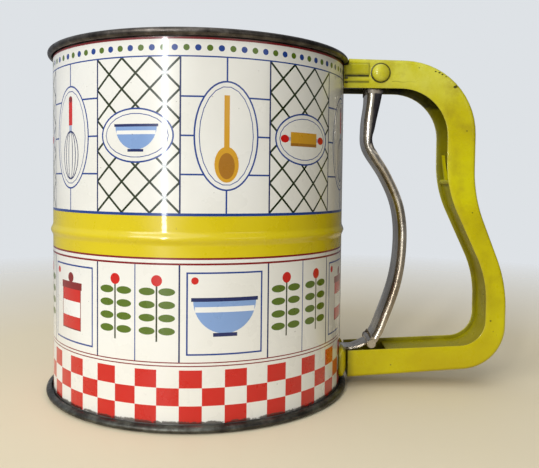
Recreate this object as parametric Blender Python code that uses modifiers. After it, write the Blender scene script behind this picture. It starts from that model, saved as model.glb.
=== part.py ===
"""Squeeze-handle flour sifter: a printed sheet-metal can with three screens, a channel handle
and a sprung trigger. The trigger's foot pushes a link that turns the spindle of the agitators
through a crank. Metres, +Z up. Shapes are written with the can's axis at x = 0, and the frame
empty moves them all, so that the origin is under the middle of the whole object."""

import math

import bmesh
import bpy
from mathutils import Matrix, Vector

# Can
HEIGHT = 0.1407
SHEET = 0.0005
WALL_RADIUS = 0.0616
WALL_BOTTOM = 0.0014
BEAD_HEIGHT = 0.068
BEAD_HALF = 0.0026
BEAD_PROUD = 0.0009
CURL_HALF_WIDTH = 0.0011
CURL_HALF_HEIGHT = 0.00115
RIM_WIRE_RADIUS = 0.00055
BASE_RADIUS = 0.0646
BASE_RING_HEIGHT = 0.0029
BASE_ROLL_RADIUS = 0.06185  # to the middle of the ring's section
SLOT_HALF_WIDTH = 0.0060
SLOT_LOW = 0.0140
SLOT_TOP = 0.0184
GAP = 0.0003
AROUND = 48

# Screens, from the top one down, and what stands on them
SCREEN_HEIGHTS = {"top": 0.066, "middle": 0.046, "bottom": 0.026}
SCREEN_RADIUS = 0.0598
SCREEN_THICK = 0.0006
SCREEN_HOLE_RADIUS = 0.0030
EYELET_RADIUS = 0.0036
EYELET_NECK_RADIUS = 0.0026
EYELET_HALF_HEIGHT = 0.0012
EYELET_GROOVE_HALF = 0.0006
RING_FLANGE = 0.0034
RING_HALF_HEIGHT = 0.0013
BLADE_RADIUS = 0.052
BLADE_WIDTH = 0.007
BLADE_THICK = 0.0008
BLADE_TILT = math.radians(35)
BLADES = 4
BLADE_START = 0.0040
HUB_RADIUS = 0.0060
HUB_LOW = 0.0018  # these heights are above the middle of the screen
HUB_TOP = 0.0030
BLADE_MIDDLE = 0.0029
COLLAR_LOW = 0.0033
COLLAR_TOP = 0.0075

# Spindle, crank and bearing
SPINDLE_RADIUS = 0.0016
SPINDLE_BOTTOM = 0.0036
SPINDLE_TOP = 0.0765
COLLAR_RADIUS = 0.0032
BOTTOM_COLLAR_HEIGHT = 0.0015
CRANK_RADIUS = 0.016
CRANK_REST = math.radians(-125)
CRANK_LOW = 0.0108
CRANK_THICK = 0.0012
CRANK_PIN_RADIUS = 0.0012
CRANK_PIN_TOP = 0.0200
CRANK_PIN_HEAD_RADIUS = 0.0021
CRANK_PIN_HEAD_HEIGHT = 0.0008
CRANK_HUB_END_RADIUS = 0.0042
CRANK_PIN_END_RADIUS = 0.0034
BAR_LOW = 0.0060
BAR_THICK = 0.0010
BAR_WIDTH = 0.0100
BAR_REACH = 0.0604
BAR_EAR_HEIGHT = 0.0080

# Handle channel
HANDLE_REACH = 0.1319
HANDLE_WIDTH = 0.0200
HANDLE_SHEET = 0.0006
STRIP_RECESS = 0.0022
STRIP_END_X = 0.0820
LOWER_ARM_END_X = 0.0655
STRIP_TOP = 0.0890
STRIP_BEAD_RADIUS = 0.0009
TONGUE_WIDTH = 0.0040
TONGUE_HEIGHT = 0.0120
PANEL_LOW = 0.1331
PANEL_TOP = 0.1384
PANEL_END_X = 0.0718
PANEL_PROUD = 0.0004

# Fixings of the handle to the can
BRACKET_LOW = 0.1302
BRACKET_TOP = 0.1382
CHEEK_PAST_PIVOT = 0.0045
SADDLE_LOW = 0.0050
SADDLE_TOP = 0.0186
SADDLE_SPREAD = 13.5  # degrees each side
SADDLE_THICK = 0.0012
SADDLE_TONGUE_END_X = 0.0740

# Trigger, its pivot and the drive link
PIVOT = (0.0766, 0.1344)
FOOT_PIN = (0.0750, 0.0190)
TRIGGER_WIDTH = 0.0164
TRIGGER_SHEET = 0.0006
TRIGGER_DEPTH = 0.0035
EAR_RADIUS = 0.0052
FOOT_LOBE_RADIUS = 0.0026
WEB_TOP = 0.1220
WEB_BOTTOM = 0.0217
BUSH_RADIUS = 0.0026
RIVET_RADIUS = 0.0018
RIVET_HEAD_RADIUS = 0.0042
RIVET_HEAD_HEIGHT = 0.0021
FOOT_PIN_RADIUS = 0.0010
FOOT_PIN_HEAD_RADIUS = 0.0018
FOOT_PIN_HEAD_HEIGHT = 0.0004
KNUCKLE_RADIUS = 0.0020
LINK_LOW = 0.0154
LINK_THICK = 0.0010
LINK_HALF_WIDTH = 0.0040
LINK_SLOT_HALF = 0.0017
LINK_LEVEL_END_X = 0.0655
LINK_MARGIN = 0.0030  # metal round the cross slot
SPRING_WIRE = 0.0005
SPRING_RADIUS = 0.0036
SPRING_TURNS = 4
SPRING_PITCH = 0.0013

WALL_INSIDE = WALL_RADIUS - SHEET
WALL_MIDDLE = WALL_RADIUS - SHEET / 2
OVER = 0.002  # how far a cutter reaches past what it cuts


# ---------------------------------------------------------------- scene, bodies and materials

for old in list(bpy.data.objects):
    bpy.data.objects.remove(old, do_unlink=True)

PARTS = bpy.data.collections.new("flour_sifter")
CUTTERS = bpy.data.collections.new("cutters")
for group in (PARTS, CUTTERS):
    bpy.context.scene.collection.children.link(group)


def empty(name, at, parent=None, parent_at=(0, 0, 0)):
    """An empty at a place given in the can's coordinates."""
    made = bpy.data.objects.new(name, None)
    made.empty_display_size = 0.01
    made.parent = parent
    made.location = Vector(at) - Vector(parent_at)
    PARTS.objects.link(made)
    return made


FRAME_AT = (-(HANDLE_REACH - BASE_RADIUS) / 2, 0, 0)
PIVOT_AT = (PIVOT[0], 0, PIVOT[1])
LINK_AT = (FOOT_PIN[0], 0, FOOT_PIN[1])
AXIS_AT = (0, 0, BAR_LOW)
frame = empty("frame", FRAME_AT)
trigger_pivot = empty("trigger_pivot", PIVOT_AT, frame)
link_pivot = empty("link_pivot", LINK_AT, trigger_pivot, PIVOT_AT)
spindle_axis = empty("spindle_axis", AXIS_AT, frame)
BODIES = {
    "can": (frame, (0, 0, 0)),
    "trigger": (trigger_pivot, PIVOT_AT),
    "drive_link": (link_pivot, LINK_AT),
    "spindle": (spindle_axis, AXIS_AT),
}


def material(name, colour, roughness, metallic=0.0):
    made = bpy.data.materials.new(name)
    made.use_nodes = True
    shader = made.node_tree.nodes["Principled BSDF"]
    shader.inputs["Base Color"].default_value = (*colour, 1)
    shader.inputs["Roughness"].default_value = roughness
    shader.inputs["Metallic"].default_value = metallic
    made.diffuse_color = (*colour, 1)
    return made


def attach(obj, body, colour, roughness=0.35, metallic=1.0, smooth=True):
    """Puts a finished shape, built in the can's coordinates, on its body."""
    parent, at = BODIES[body]
    obj.parent = parent
    obj.matrix_parent_inverse = Matrix.Translation(-Vector(at))
    for group in list(obj.users_collection):
        group.objects.unlink(obj)
    PARTS.objects.link(obj)
    obj.data.materials.clear()
    obj.data.materials.append(material(obj.name + "_surface", colour, roughness, metallic))
    if smooth and obj.type == "MESH":
        obj.data.shade_smooth()
        obj.data.set_sharp_from_angle(angle=math.radians(30))
    return obj


def cutter(obj):
    """Marks a helper shape, so that only Booleans use it."""
    obj.parent = frame
    for group in list(obj.users_collection):
        group.objects.unlink(obj)
    CUTTERS.objects.link(obj)
    obj.hide_render = True
    obj.display_type = "WIRE"
    return obj


def boolean(obj, other, operation):
    step = obj.modifiers.new(other.name, "BOOLEAN")
    step.operation = operation
    step.object = other
    step.solver = "EXACT"
    return obj


def cut(obj, *tools):
    for tool in tools:
        boolean(obj, cutter(tool), "DIFFERENCE")
    return obj


def join(obj, *tools):
    for tool in tools:
        boolean(obj, cutter(tool), "UNION")
    return obj


# ---------------------------------------------------------------- outlines

def arc(centre, radius, start, end, steps):
    """Points on an arc, angles in degrees, both ends included. A radius may be a pair."""
    across, up = radius if isinstance(radius, tuple) else (radius, radius)
    turns = [math.radians(start + (end - start) * i / steps) for i in range(steps + 1)]
    return [Vector((centre[0] + across * math.cos(a), centre[1] + up * math.sin(a))) for a in turns]


def rounded_path(corners, steps=7):
    """An open path through corners (x, z, radius), each turned by an arc."""
    path = [Vector(corners[0][:2])]
    for before, here, after in zip(corners, corners[1:], corners[2:]):
        corner = Vector(here[:2])
        back = (Vector(before[:2]) - corner).normalized()
        on = (Vector(after[:2]) - corner).normalized()
        half = back.angle(on) / 2
        centre = corner + (back + on).normalized() * here[2] / math.sin(half)
        first = corner + back * here[2] / math.tan(half) - centre
        last = corner + on * here[2] / math.tan(half) - centre
        start = math.atan2(first.y, first.x)
        sweep = (math.atan2(last.y, last.x) - start + math.pi) % (2 * math.pi) - math.pi
        for i in range(steps + 1):
            turn = start + sweep * i / steps
            path.append(centre + here[2] * Vector((math.cos(turn), math.sin(turn))))
    path.append(Vector(corners[-1][:2]))
    return path


def smooth_path(points, steps=5):
    """A smooth open curve through the points, by Catmull and Rom's rule."""
    points = [Vector(p) for p in points]
    ends = [2 * points[0] - points[1]] + points + [2 * points[-1] - points[-2]]
    path = []
    for a, b, c, d in zip(ends, ends[1:], ends[2:], ends[3:]):
        for i in range(steps):
            t = i / steps
            bend = (2 * a - 5 * b + 4 * c - d) * t * t + (3 * b - a - 3 * c + d) * t ** 3
            path.append((2 * b + (c - a) * t + bend) / 2)
    path.append(points[-1])
    return path


def offset_path(path, distance):
    """The path moved sideways, to its left where the distance is positive."""
    moved = []
    for i, point in enumerate(path):
        along = path[min(i + 1, len(path) - 1)] - path[max(i - 1, 0)]
        moved.append(point + Vector((-along.y, along.x)).normalized() * distance)
    return moved


def band(path, near, far):
    """The closed outline between two offsets of a path."""
    return offset_path(path, near) + offset_path(path, far)[::-1]


# ---------------------------------------------------------------- solids

PLANES = {
    "XY": (0, 0, 0),
    "XZ": (math.pi / 2, 0, 0),
    "YZ": (math.pi / 2, 0, math.pi / 2),
}


def flat_solid(name, outlines, thickness, plane="XY", at=(0, 0, 0)):
    """A solid whose mid-plane lies in the plane. Outlines after the first are holes."""
    curve = bpy.data.curves.new(name, "CURVE")
    curve.dimensions = "2D"
    curve.fill_mode = "BOTH"
    curve.extrude = thickness / 2
    for outline in outlines:
        spline = curve.splines.new("POLY")
        spline.points.add(len(outline) - 1)
        for point, place in zip(spline.points, outline):
            point.co = (place[0], place[1], 0, 1)
        spline.use_cyclic_u = True
    obj = bpy.data.objects.new(name, curve)
    obj.rotation_euler = PLANES[plane]
    obj.location = at
    return as_mesh(obj)


def as_mesh(obj):
    """Turns a curve object into a mesh object with welded caps."""
    name = obj.name
    bpy.context.scene.collection.objects.link(obj)
    bpy.context.view_layer.update()
    graph = bpy.context.evaluated_depsgraph_get()
    mesh = bpy.data.meshes.new_from_object(obj.evaluated_get(graph))
    shape = bmesh.new()
    shape.from_mesh(mesh)
    bmesh.ops.remove_doubles(shape, verts=shape.verts, dist=1e-6)
    bmesh.ops.recalc_face_normals(shape, faces=shape.faces)
    shape.to_mesh(mesh)
    shape.free()
    place = obj.matrix_world.copy()
    curve = obj.data
    bpy.data.objects.remove(obj, do_unlink=True)
    bpy.data.curves.remove(curve)
    made = bpy.data.objects.new(name, mesh)
    made.matrix_world = place
    bpy.context.scene.collection.objects.link(made)
    return made


def turned(name, profile, around=AROUND, at=(0, 0, 0), rotation=(0, 0, 0), closed=True):
    """A profile (radius, height), running down its outer side, turned about the local Z axis."""
    mesh = bpy.data.meshes.new(name)
    count = len(profile)
    edges = [(i, i + 1) for i in range(count - 1)] + ([(count - 1, 0)] if closed else [])
    mesh.from_pydata([(p[0], 0, p[1]) for p in profile], edges, [])
    obj = bpy.data.objects.new(name, mesh)
    obj.location = at
    obj.rotation_euler = rotation
    bpy.context.scene.collection.objects.link(obj)
    turn = obj.modifiers.new("turn", "SCREW")
    turn.axis = "Z"
    turn.angle = 2 * math.pi
    turn.steps = around
    turn.render_steps = around
    turn.use_merge_vertices = True
    turn.merge_threshold = 0.00001
    turn.use_smooth_shade = True
    return obj


def tube_profile(inner, outer, low, high):
    return [(outer, high), (outer, low), (inner, low), (inner, high)]


def rod(name, radius, low, high, sides=16, at=(0, 0, 0), along="Z"):
    """A cylinder from low to high along an axis."""
    middle = Vector(at) + (low + high) / 2 * Vector({"Y": (0, 1, 0), "Z": (0, 0, 1)}[along])
    turn = {"Y": (math.pi / 2, 0, 0), "Z": (0, 0, 0)}[along]
    bpy.ops.mesh.primitive_cylinder_add(
        vertices=sides, radius=radius, depth=high - low, location=middle, rotation=turn
    )
    obj = bpy.context.object
    obj.name = name
    return obj


def block(name, low, high):
    """A box between two corners."""
    low, high = Vector(low), Vector(high)
    bpy.ops.mesh.primitive_cube_add(size=1, location=(low + high) / 2)
    obj = bpy.context.object
    obj.name = name
    obj.scale = high - low
    bpy.ops.object.transform_apply(location=False, rotation=False, scale=True)
    return obj


def wire(name, points, radius):
    """A round wire along the points."""
    curve = bpy.data.curves.new(name, "CURVE")
    curve.dimensions = "3D"
    curve.bevel_depth = radius
    curve.bevel_resolution = 2
    curve.use_fill_caps = True
    spline = curve.splines.new("POLY")
    spline.points.add(len(points) - 1)
    for point, place in zip(spline.points, points):
        point.co = (*place, 1)
    return as_mesh(bpy.data.objects.new(name, curve))


TIN = (0.62, 0.60, 0.56)
STEEL = (0.30, 0.30, 0.29)
YELLOW = (0.62, 0.55, 0.01)
ENAMEL = (0.72, 0.70, 0.66)


# ---------------------------------------------------------------- can

def can_body():
    """The wall: one sheet with a mid-height bead and the top curled outwards over a wire."""
    centre = (WALL_MIDDLE + CURL_HALF_WIDTH, HEIGHT - SHEET / 2 - CURL_HALF_HEIGHT)
    wall = [Vector((WALL_MIDDLE, WALL_BOTTOM))]
    for i in range(7):
        rise = -1 + i / 3
        swell = BEAD_PROUD * (1 + math.cos(math.pi * rise)) / 2
        wall.append(Vector((WALL_MIDDLE + swell, BEAD_HEIGHT + BEAD_HALF * rise)))
    wall += arc(centre, (CURL_HALF_WIDTH, CURL_HALF_HEIGHT), 180, -90, 9)
    outer = offset_path(wall, -SHEET / 2)
    inner = offset_path(wall, SHEET / 2)
    body = turned("can_body", outer[::-1] + inner)
    slot = block(
        "link_slot",
        (WALL_RADIUS - OVER, -SLOT_HALF_WIDTH, SLOT_LOW),
        (WALL_RADIUS + OVER, SLOT_HALF_WIDTH, SLOT_TOP),
    )
    attach(cut(body, slot), "can", ENAMEL, 0.3, 0.0, smooth=False)


def rim_wire():
    bpy.ops.mesh.primitive_torus_add(
        major_radius=WALL_MIDDLE + CURL_HALF_WIDTH,
        minor_radius=RIM_WIRE_RADIUS,
        major_segments=AROUND,
        minor_segments=8,
        location=(0, 0, HEIGHT - SHEET / 2 - CURL_HALF_HEIGHT),
    )
    obj = bpy.context.object
    obj.name = "rim_wire"
    attach(obj, "can", STEEL, 0.5)


def base_ring():
    """A rolled ring, open at the top, that holds the wall's lower edge. Its foot is flat."""
    half_width = BASE_RADIUS - BASE_ROLL_RADIUS - SHEET / 2
    half_height = (BASE_RING_HEIGHT - SHEET) / 2
    centre = (BASE_ROLL_RADIUS, BASE_RING_HEIGHT / 2)
    roll = arc(centre, (half_width, half_height), 75, -225, 10)
    outline = offset_path(roll, SHEET / 2) + offset_path(roll, -SHEET / 2)[::-1]
    lowest = min(point.y for point in outline)
    for point in outline:
        point.y -= lowest
    attach(turned("base_ring", outline), "can", STEEL, 0.45)


def screens():
    """Three woven discs, each in a folded ring and with an eyelet for the spindle."""
    ring_out = WALL_INSIDE - GAP
    flange_in = ring_out - RING_FLANGE
    for level, height in SCREEN_HEIGHTS.items():
        disc = flat_solid(
            level + "_screen",
            [
                arc((0, 0), SCREEN_RADIUS, 0, 360 * (1 - 1 / AROUND), AROUND - 1),
                arc((0, 0), SCREEN_HOLE_RADIUS, 0, 337.5, 15),
            ],
            SCREEN_THICK,
            at=(0, 0, height),
        )
        attach(disc, "can", TIN, 0.4, smooth=False)
        top, low = height + RING_HALF_HEIGHT, height - RING_HALF_HEIGHT
        profile = [
            (ring_out, top),
            (ring_out, low),
            (flange_in, low),
            (flange_in, low + SHEET),
            (ring_out - SHEET, low + SHEET),
            (ring_out - SHEET, top - SHEET),
            (flange_in, top - SHEET),
            (flange_in, top),
        ]
        attach(turned(level + "_screen_ring", profile), "can", TIN)
        spool = [
            (EYELET_RADIUS, height + EYELET_HALF_HEIGHT),
            (EYELET_RADIUS, height + EYELET_GROOVE_HALF),
            (EYELET_NECK_RADIUS, height + EYELET_GROOVE_HALF),
            (EYELET_NECK_RADIUS, height - EYELET_GROOVE_HALF),
            (EYELET_RADIUS, height - EYELET_GROOVE_HALF),
            (EYELET_RADIUS, height - EYELET_HALF_HEIGHT),
            (SPINDLE_RADIUS + GAP, height - EYELET_HALF_HEIGHT),
            (SPINDLE_RADIUS + GAP, height + EYELET_HALF_HEIGHT),
        ]
        attach(turned(level + "_screen_eyelet", spool, around=16), "can", TIN)


def bearing_bar():
    """A flat bar across the can, with turned-up ends and a hole for the spindle."""
    t = BAR_THICK
    outline = [
        (-BAR_REACH, BAR_LOW + BAR_EAR_HEIGHT),
        (-BAR_REACH, BAR_LOW),
        (BAR_REACH, BAR_LOW),
        (BAR_REACH, BAR_LOW + BAR_EAR_HEIGHT),
        (BAR_REACH - t, BAR_LOW + BAR_EAR_HEIGHT),
        (BAR_REACH - t, BAR_LOW + t),
        (-BAR_REACH + t, BAR_LOW + t),
        (-BAR_REACH + t, BAR_LOW + BAR_EAR_HEIGHT),
    ]
    bar = flat_solid("bearing_bar", [outline], BAR_WIDTH, "YZ")
    hole = rod("bar_hole", SPINDLE_RADIUS + GAP, BAR_LOW - OVER, BAR_LOW + t + OVER)
    attach(cut(bar, hole), "can", TIN)


# ---------------------------------------------------------------- spindle and what turns with it

def spindle():
    attach(rod("spindle", SPINDLE_RADIUS, SPINDLE_BOTTOM, SPINDLE_TOP, sides=12), "spindle", TIN)
    collars = {"bottom_collar": (BAR_LOW - GAP - BOTTOM_COLLAR_HEIGHT, BAR_LOW - GAP)}
    for level, height in SCREEN_HEIGHTS.items():
        collars[level + "_agitator_collar"] = (height + COLLAR_LOW, height + COLLAR_TOP)
    for name, (low, high) in collars.items():
        profile = tube_profile(SPINDLE_RADIUS + GAP, COLLAR_RADIUS, low, high)
        attach(turned(name, profile, around=16), "spindle", TIN)


def agitators():
    """One propeller of tilted blades above each screen."""
    for level, height in SCREEN_HEIGHTS.items():
        low, high = height + HUB_LOW, height + HUB_TOP
        profile = tube_profile(SPINDLE_RADIUS + GAP, HUB_RADIUS, low, high)
        propeller = turned(level + "_agitator", profile, around=16)
        for i in range(BLADES):
            blade = block(
                f"{level}_blade_{i}",
                (BLADE_START, -BLADE_WIDTH / 2, -BLADE_THICK / 2),
                (BLADE_RADIUS, BLADE_WIDTH / 2, BLADE_THICK / 2),
            )
            turn = Matrix.Rotation(2 * math.pi * i / BLADES, 4, "Z")
            tilt = Matrix.Rotation(BLADE_TILT, 4, "X")
            middle = blade.matrix_world.translation.copy()
            blade.data.transform(turn @ tilt @ Matrix.Translation(middle))
            blade.location = (0, 0, height + BLADE_MIDDLE)
            join(propeller, blade)
        attach(propeller, "spindle", TIN)


def crank():
    """The crank arm on the spindle, and the pin that the link's slot takes along."""
    pin = CRANK_RADIUS * Vector((math.cos(CRANK_REST), math.sin(CRANK_REST)))
    facing = math.degrees(CRANK_REST)
    outline = arc((0, 0), CRANK_HUB_END_RADIUS, facing + 90, facing + 270, 8)
    outline += arc(pin, CRANK_PIN_END_RADIUS, facing - 90, facing + 90, 8)
    holes = [
        arc((0, 0), SPINDLE_RADIUS + GAP, 0, 337.5, 15),
        arc(pin, CRANK_PIN_RADIUS + GAP, 0, 330, 11),
    ]
    middle = CRANK_LOW + CRANK_THICK / 2
    arm = flat_solid("crank_arm", [outline, *holes], CRANK_THICK, at=(0, 0, middle))
    low, high = BAR_LOW + BAR_THICK + GAP, CRANK_LOW + CRANK_THICK / 2
    hub = turned("crank_hub", tube_profile(SPINDLE_RADIUS + GAP, COLLAR_RADIUS, low, high), 16)
    attach(join(arm, hub), "spindle", TIN)
    head = CRANK_LOW - GAP
    profile = [
        (0, CRANK_PIN_TOP),
        (CRANK_PIN_RADIUS, CRANK_PIN_TOP),
        (CRANK_PIN_RADIUS, head),
        (CRANK_PIN_HEAD_RADIUS, head),
        (CRANK_PIN_HEAD_RADIUS, head - CRANK_PIN_HEAD_HEIGHT),
        (0, head - CRANK_PIN_HEAD_HEIGHT),
    ]
    made = turned("crank_pin", profile, around=12, at=(*pin, 0), closed=False)
    attach(made, "spindle", TIN)


# ---------------------------------------------------------------- trigger and link

TRIGGER_FRONT = smooth_path(
    [
        (0.0703, 0.1120),
        (0.0712, 0.1025),
        (0.0788, 0.0905),
        (0.0842, 0.0780),
        (0.0858, 0.0635),
        (0.0838, 0.0460),
        (0.0775, 0.0270),
        (0.0742, 0.0200),
    ],
    steps=4,
)


def trigger():
    """A channel open towards the grip: a web on the fingers' side and two flanges, which widen
    into the ears at the pivot and end in lobes round the foot pin."""
    back = offset_path(TRIGGER_FRONT, TRIGGER_DEPTH)
    strip = [p for p in back if FOOT_PIN[1] + 0.004 < p.y < 0.100]
    outline = arc(PIVOT, EAR_RADIUS, 180, 0, 12)
    outline += [Vector((0.0778, 0.1250)), Vector((0.0740, 0.1060))] + strip
    outline += arc(FOOT_PIN, FOOT_LOBE_RADIUS, 15, -190, 8)
    outline += [p for p in TRIGGER_FRONT[::-1] if p.y > FOOT_PIN[1] + 0.002]
    lever = flat_solid("trigger", [outline], TRIGGER_WIDTH, "XZ")
    inside = [p for p in offset_path(TRIGGER_FRONT, TRIGGER_SHEET) if p.y > WEB_BOTTOM]
    upper = Vector((PIVOT[0] - EAR_RADIUS + TRIGGER_SHEET, WEB_TOP))
    far_left, far_right = 0.055, 0.110
    hollow = [Vector((far_left, HEIGHT + OVER)), Vector((far_left, WEB_TOP)), upper] + inside
    hollow += [
        Vector((inside[-1].x, WEB_BOTTOM)),
        Vector((far_left, WEB_BOTTOM)),
        Vector((far_left, 0.010)),
        Vector((far_right, 0.010)),
        Vector((far_right, HEIGHT + OVER)),
    ]
    width = TRIGGER_WIDTH - 2 * TRIGGER_SHEET
    half = TRIGGER_WIDTH / 2 + OVER
    bush_hole = rod("bush_hole", BUSH_RADIUS + GAP, -half, half, at=PIVOT_AT, along="Y")
    pin_hole = rod("pin_hole", FOOT_PIN_RADIUS + GAP, -half, half, 12, LINK_AT, "Y")
    cut(lever, flat_solid("trigger_hollow", [hollow], width, "XZ"), bush_hole, pin_hole)
    attach(lever, "trigger", (0.66, 0.64, 0.60), 0.2, smooth=False)


def foot_pin():
    """The pin across the trigger's foot, with a flat head at each end."""
    half = TRIGGER_WIDTH / 2 + GAP / 2
    profile = [
        (0, half + FOOT_PIN_HEAD_HEIGHT),
        (FOOT_PIN_HEAD_RADIUS, half + FOOT_PIN_HEAD_HEIGHT),
        (FOOT_PIN_HEAD_RADIUS, half),
        (FOOT_PIN_RADIUS, half),
        (FOOT_PIN_RADIUS, -half),
        (FOOT_PIN_HEAD_RADIUS, -half),
        (FOOT_PIN_HEAD_RADIUS, -half - FOOT_PIN_HEAD_HEIGHT),
        (0, -half - FOOT_PIN_HEAD_HEIGHT),
    ]
    pin = turned("foot_pin", profile, 12, LINK_AT, PLANES["XZ"], closed=False)
    attach(pin, "trigger", TIN)


def drive_link():
    """A strip from the foot pin, down through the can's slot, to a cross slot round the crank pin."""
    pin = CRANK_RADIUS * Vector((math.cos(CRANK_REST), math.sin(CRANK_REST)))
    deepest = -CRANK_RADIUS - CRANK_PIN_RADIUS - GAP
    nearest = pin.y + CRANK_PIN_RADIUS + GAP
    head = LINK_SLOT_HALF + LINK_MARGIN
    plan = [
        (LINK_LEVEL_END_X, LINK_HALF_WIDTH),
        (0.0200, LINK_HALF_WIDTH),
        (0.0120, nearest + LINK_MARGIN),
        (pin.x - head, nearest + LINK_MARGIN),
        (pin.x - head, deepest - LINK_MARGIN),
        (0.0140, deepest - LINK_MARGIN),
        (0.0280, -LINK_HALF_WIDTH),
        (LINK_LEVEL_END_X, -LINK_HALF_WIDTH),
    ]
    slot = [
        (pin.x - LINK_SLOT_HALF, nearest),
        (pin.x + LINK_SLOT_HALF, nearest),
        (pin.x + LINK_SLOT_HALF, deepest),
        (pin.x - LINK_SLOT_HALF, deepest),
    ]
    middle = LINK_LOW + LINK_THICK / 2
    link = flat_solid("drive_link", [plan, slot], LINK_THICK, at=(0, 0, middle))
    slope = [
        Vector((0.0640, middle)),
        Vector((0.0670, middle)),
        Vector((FOOT_PIN[0] - 0.0012, FOOT_PIN[1] - 0.0008)),
    ]
    strip = flat_solid(
        "link_strip", [band(slope, LINK_THICK / 2, -LINK_THICK / 2)], 2 * LINK_HALF_WIDTH, "XZ"
    )
    half = LINK_HALF_WIDTH
    knuckle = rod("link_knuckle", KNUCKLE_RADIUS, -half, half, 16, LINK_AT, "Y")
    hole = rod("link_eye", FOOT_PIN_RADIUS + GAP, -half - OVER, half + OVER, 12, LINK_AT, "Y")
    attach(cut(join(link, strip, knuckle), hole), "drive_link", TIN)


# ---------------------------------------------------------------- handle

OUTER_EDGE = rounded_path(
    [
        (0.0560, 0.1407, 0),
        (0.1174, 0.1392, 0.0310),
        (0.1174, 0.0830, 0.0600),
        (HANDLE_REACH, 0.0460, 0.0600),
        (HANDLE_REACH, 0.0102, 0.0190),
        (0.0560, 0.0039, 0),
    ]
)
INNER_EDGE = rounded_path(
    [
        (0.0560, 0.1281, 0),
        (0.1052, 0.1279, 0.0200),
        (0.1054, 0.0860, 0.0500),
        (0.1231, 0.0480, 0.0450),
        (0.1231, 0.0197, 0.0110),
        (0.0560, 0.0158, 0),
    ]
)


def upper_clearance(name):
    """The can's upper half with a gap round it, for cutting what stands against it."""
    rim_low = HEIGHT - 2 * CURL_HALF_HEIGHT - SHEET - GAP
    rim_out = WALL_MIDDLE + 2 * CURL_HALF_WIDTH + SHEET / 2 + GAP
    profile = [
        (0, HEIGHT + OVER),
        (rim_out, HEIGHT + OVER),
        (rim_out, rim_low),
        (WALL_RADIUS + GAP, rim_low),
        (WALL_RADIUS + GAP, HEIGHT / 2),
        (0, HEIGHT / 2),
    ]
    return turned(name, profile, closed=False)


def rivet_hole(name):
    half = HANDLE_WIDTH / 2 + OVER
    return rod(name, RIVET_RADIUS + GAP, -half, half, 16, PIVOT_AT, "Y")


def handle_shell():
    """A channel open towards the fingers, with a pressed panel each side behind the rivet."""
    side = OUTER_EDGE + INNER_EDGE[::-1]
    shell = flat_solid("handle_shell", [side], HANDLE_WIDTH, "XZ")
    hollow = offset_path(OUTER_EDGE, -HANDLE_SHEET) + offset_path(INNER_EDGE, -0.003)[::-1]
    hollow = [p - Vector((OVER, 0)) if p.x < 0.0565 else p for p in hollow]
    inside = flat_solid("handle_hollow", [hollow], HANDLE_WIDTH - 2 * HANDLE_SHEET, "XZ")
    face = HANDLE_WIDTH / 2
    panels = []
    for side, near in enumerate([-face - PANEL_PROUD, face - GAP]):
        start = (WALL_INSIDE, near, PANEL_LOW)
        end = (PANEL_END_X, near + PANEL_PROUD + GAP, PANEL_TOP)
        panels.append(block(f"panel_{side}", start, end))
    lower_end = rod("lower_end", LOWER_ARM_END_X, -OVER, 0.030, 64)
    join(cut(shell, inside), *panels)
    cut(shell, upper_clearance("shell_clearance"), lower_end, rivet_hole("shell_rivet_hole"))
    attach(shell, "can", YELLOW, 0.3, 0.0, smooth=False)


def handle_strip():
    """The plate that closes the channel below the grip's middle. Its upper end has a cross bead
    and a narrow tongue."""
    recessed = offset_path(INNER_EDGE, STRIP_RECESS)
    strip = [p for p in recessed if p.x > STRIP_END_X and p.y < STRIP_TOP]
    top = Vector((strip[0].x - 0.0004, STRIP_TOP))
    along_arm = (strip[-1].x - STRIP_END_X) / (strip[-1].x - recessed[-1].x)
    end = strip[-1].lerp(recessed[-1], along_arm)
    width = HANDLE_WIDTH - 2 * HANDLE_SHEET - 2 * GAP
    plate = flat_solid("handle_strip", [band([top, *strip, end], 0, HANDLE_SHEET)], width, "XZ")
    ridge_at = (top.x + 0.0001, 0, STRIP_TOP)
    ridge = rod("strip_bead", STRIP_BEAD_RADIUS, -width / 2, width / 2, 10, ridge_at, "Y")
    tongue_path = [top - Vector((0, 0.0005)), Vector((top.x - 0.0014, STRIP_TOP + TONGUE_HEIGHT))]
    tongue_outline = band(tongue_path, 0, HANDLE_SHEET)
    tongue = flat_solid("strip_tongue", [tongue_outline], TONGUE_WIDTH, "XZ")
    attach(join(plate, ridge, tongue), "can", YELLOW, 0.3, 0.0, smooth=False)


def top_bracket():
    """A folded strip inside the handle's upper end: its back lies on the can, and the pivot rivet
    goes through its two cheeks."""
    half = HANDLE_WIDTH / 2 - HANDLE_SHEET - GAP
    back_radius = WALL_RADIUS + GAP
    front_radius = back_radius + HANDLE_SHEET
    back_spread = math.degrees(math.asin(half / back_radius))
    front_spread = math.degrees(math.asin((half - HANDLE_SHEET) / front_radius))
    cheek_end = PIVOT[0] + CHEEK_PAST_PIVOT
    outline = [Vector((cheek_end, -half)), *arc((0, 0), back_radius, -back_spread, back_spread, 6)]
    outline += [Vector((cheek_end, half)), Vector((cheek_end, half - HANDLE_SHEET))]
    outline += arc((0, 0), front_radius, front_spread, -front_spread, 6)
    outline.append(Vector((cheek_end, HANDLE_SHEET - half)))
    middle = (BRACKET_LOW + BRACKET_TOP) / 2
    bracket = flat_solid("top_bracket", [outline], BRACKET_TOP - BRACKET_LOW, at=(0, 0, middle))
    cut(bracket, upper_clearance("bracket_clearance"), rivet_hole("bracket_rivet_hole"))
    attach(bracket, "can", STEEL)


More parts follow.
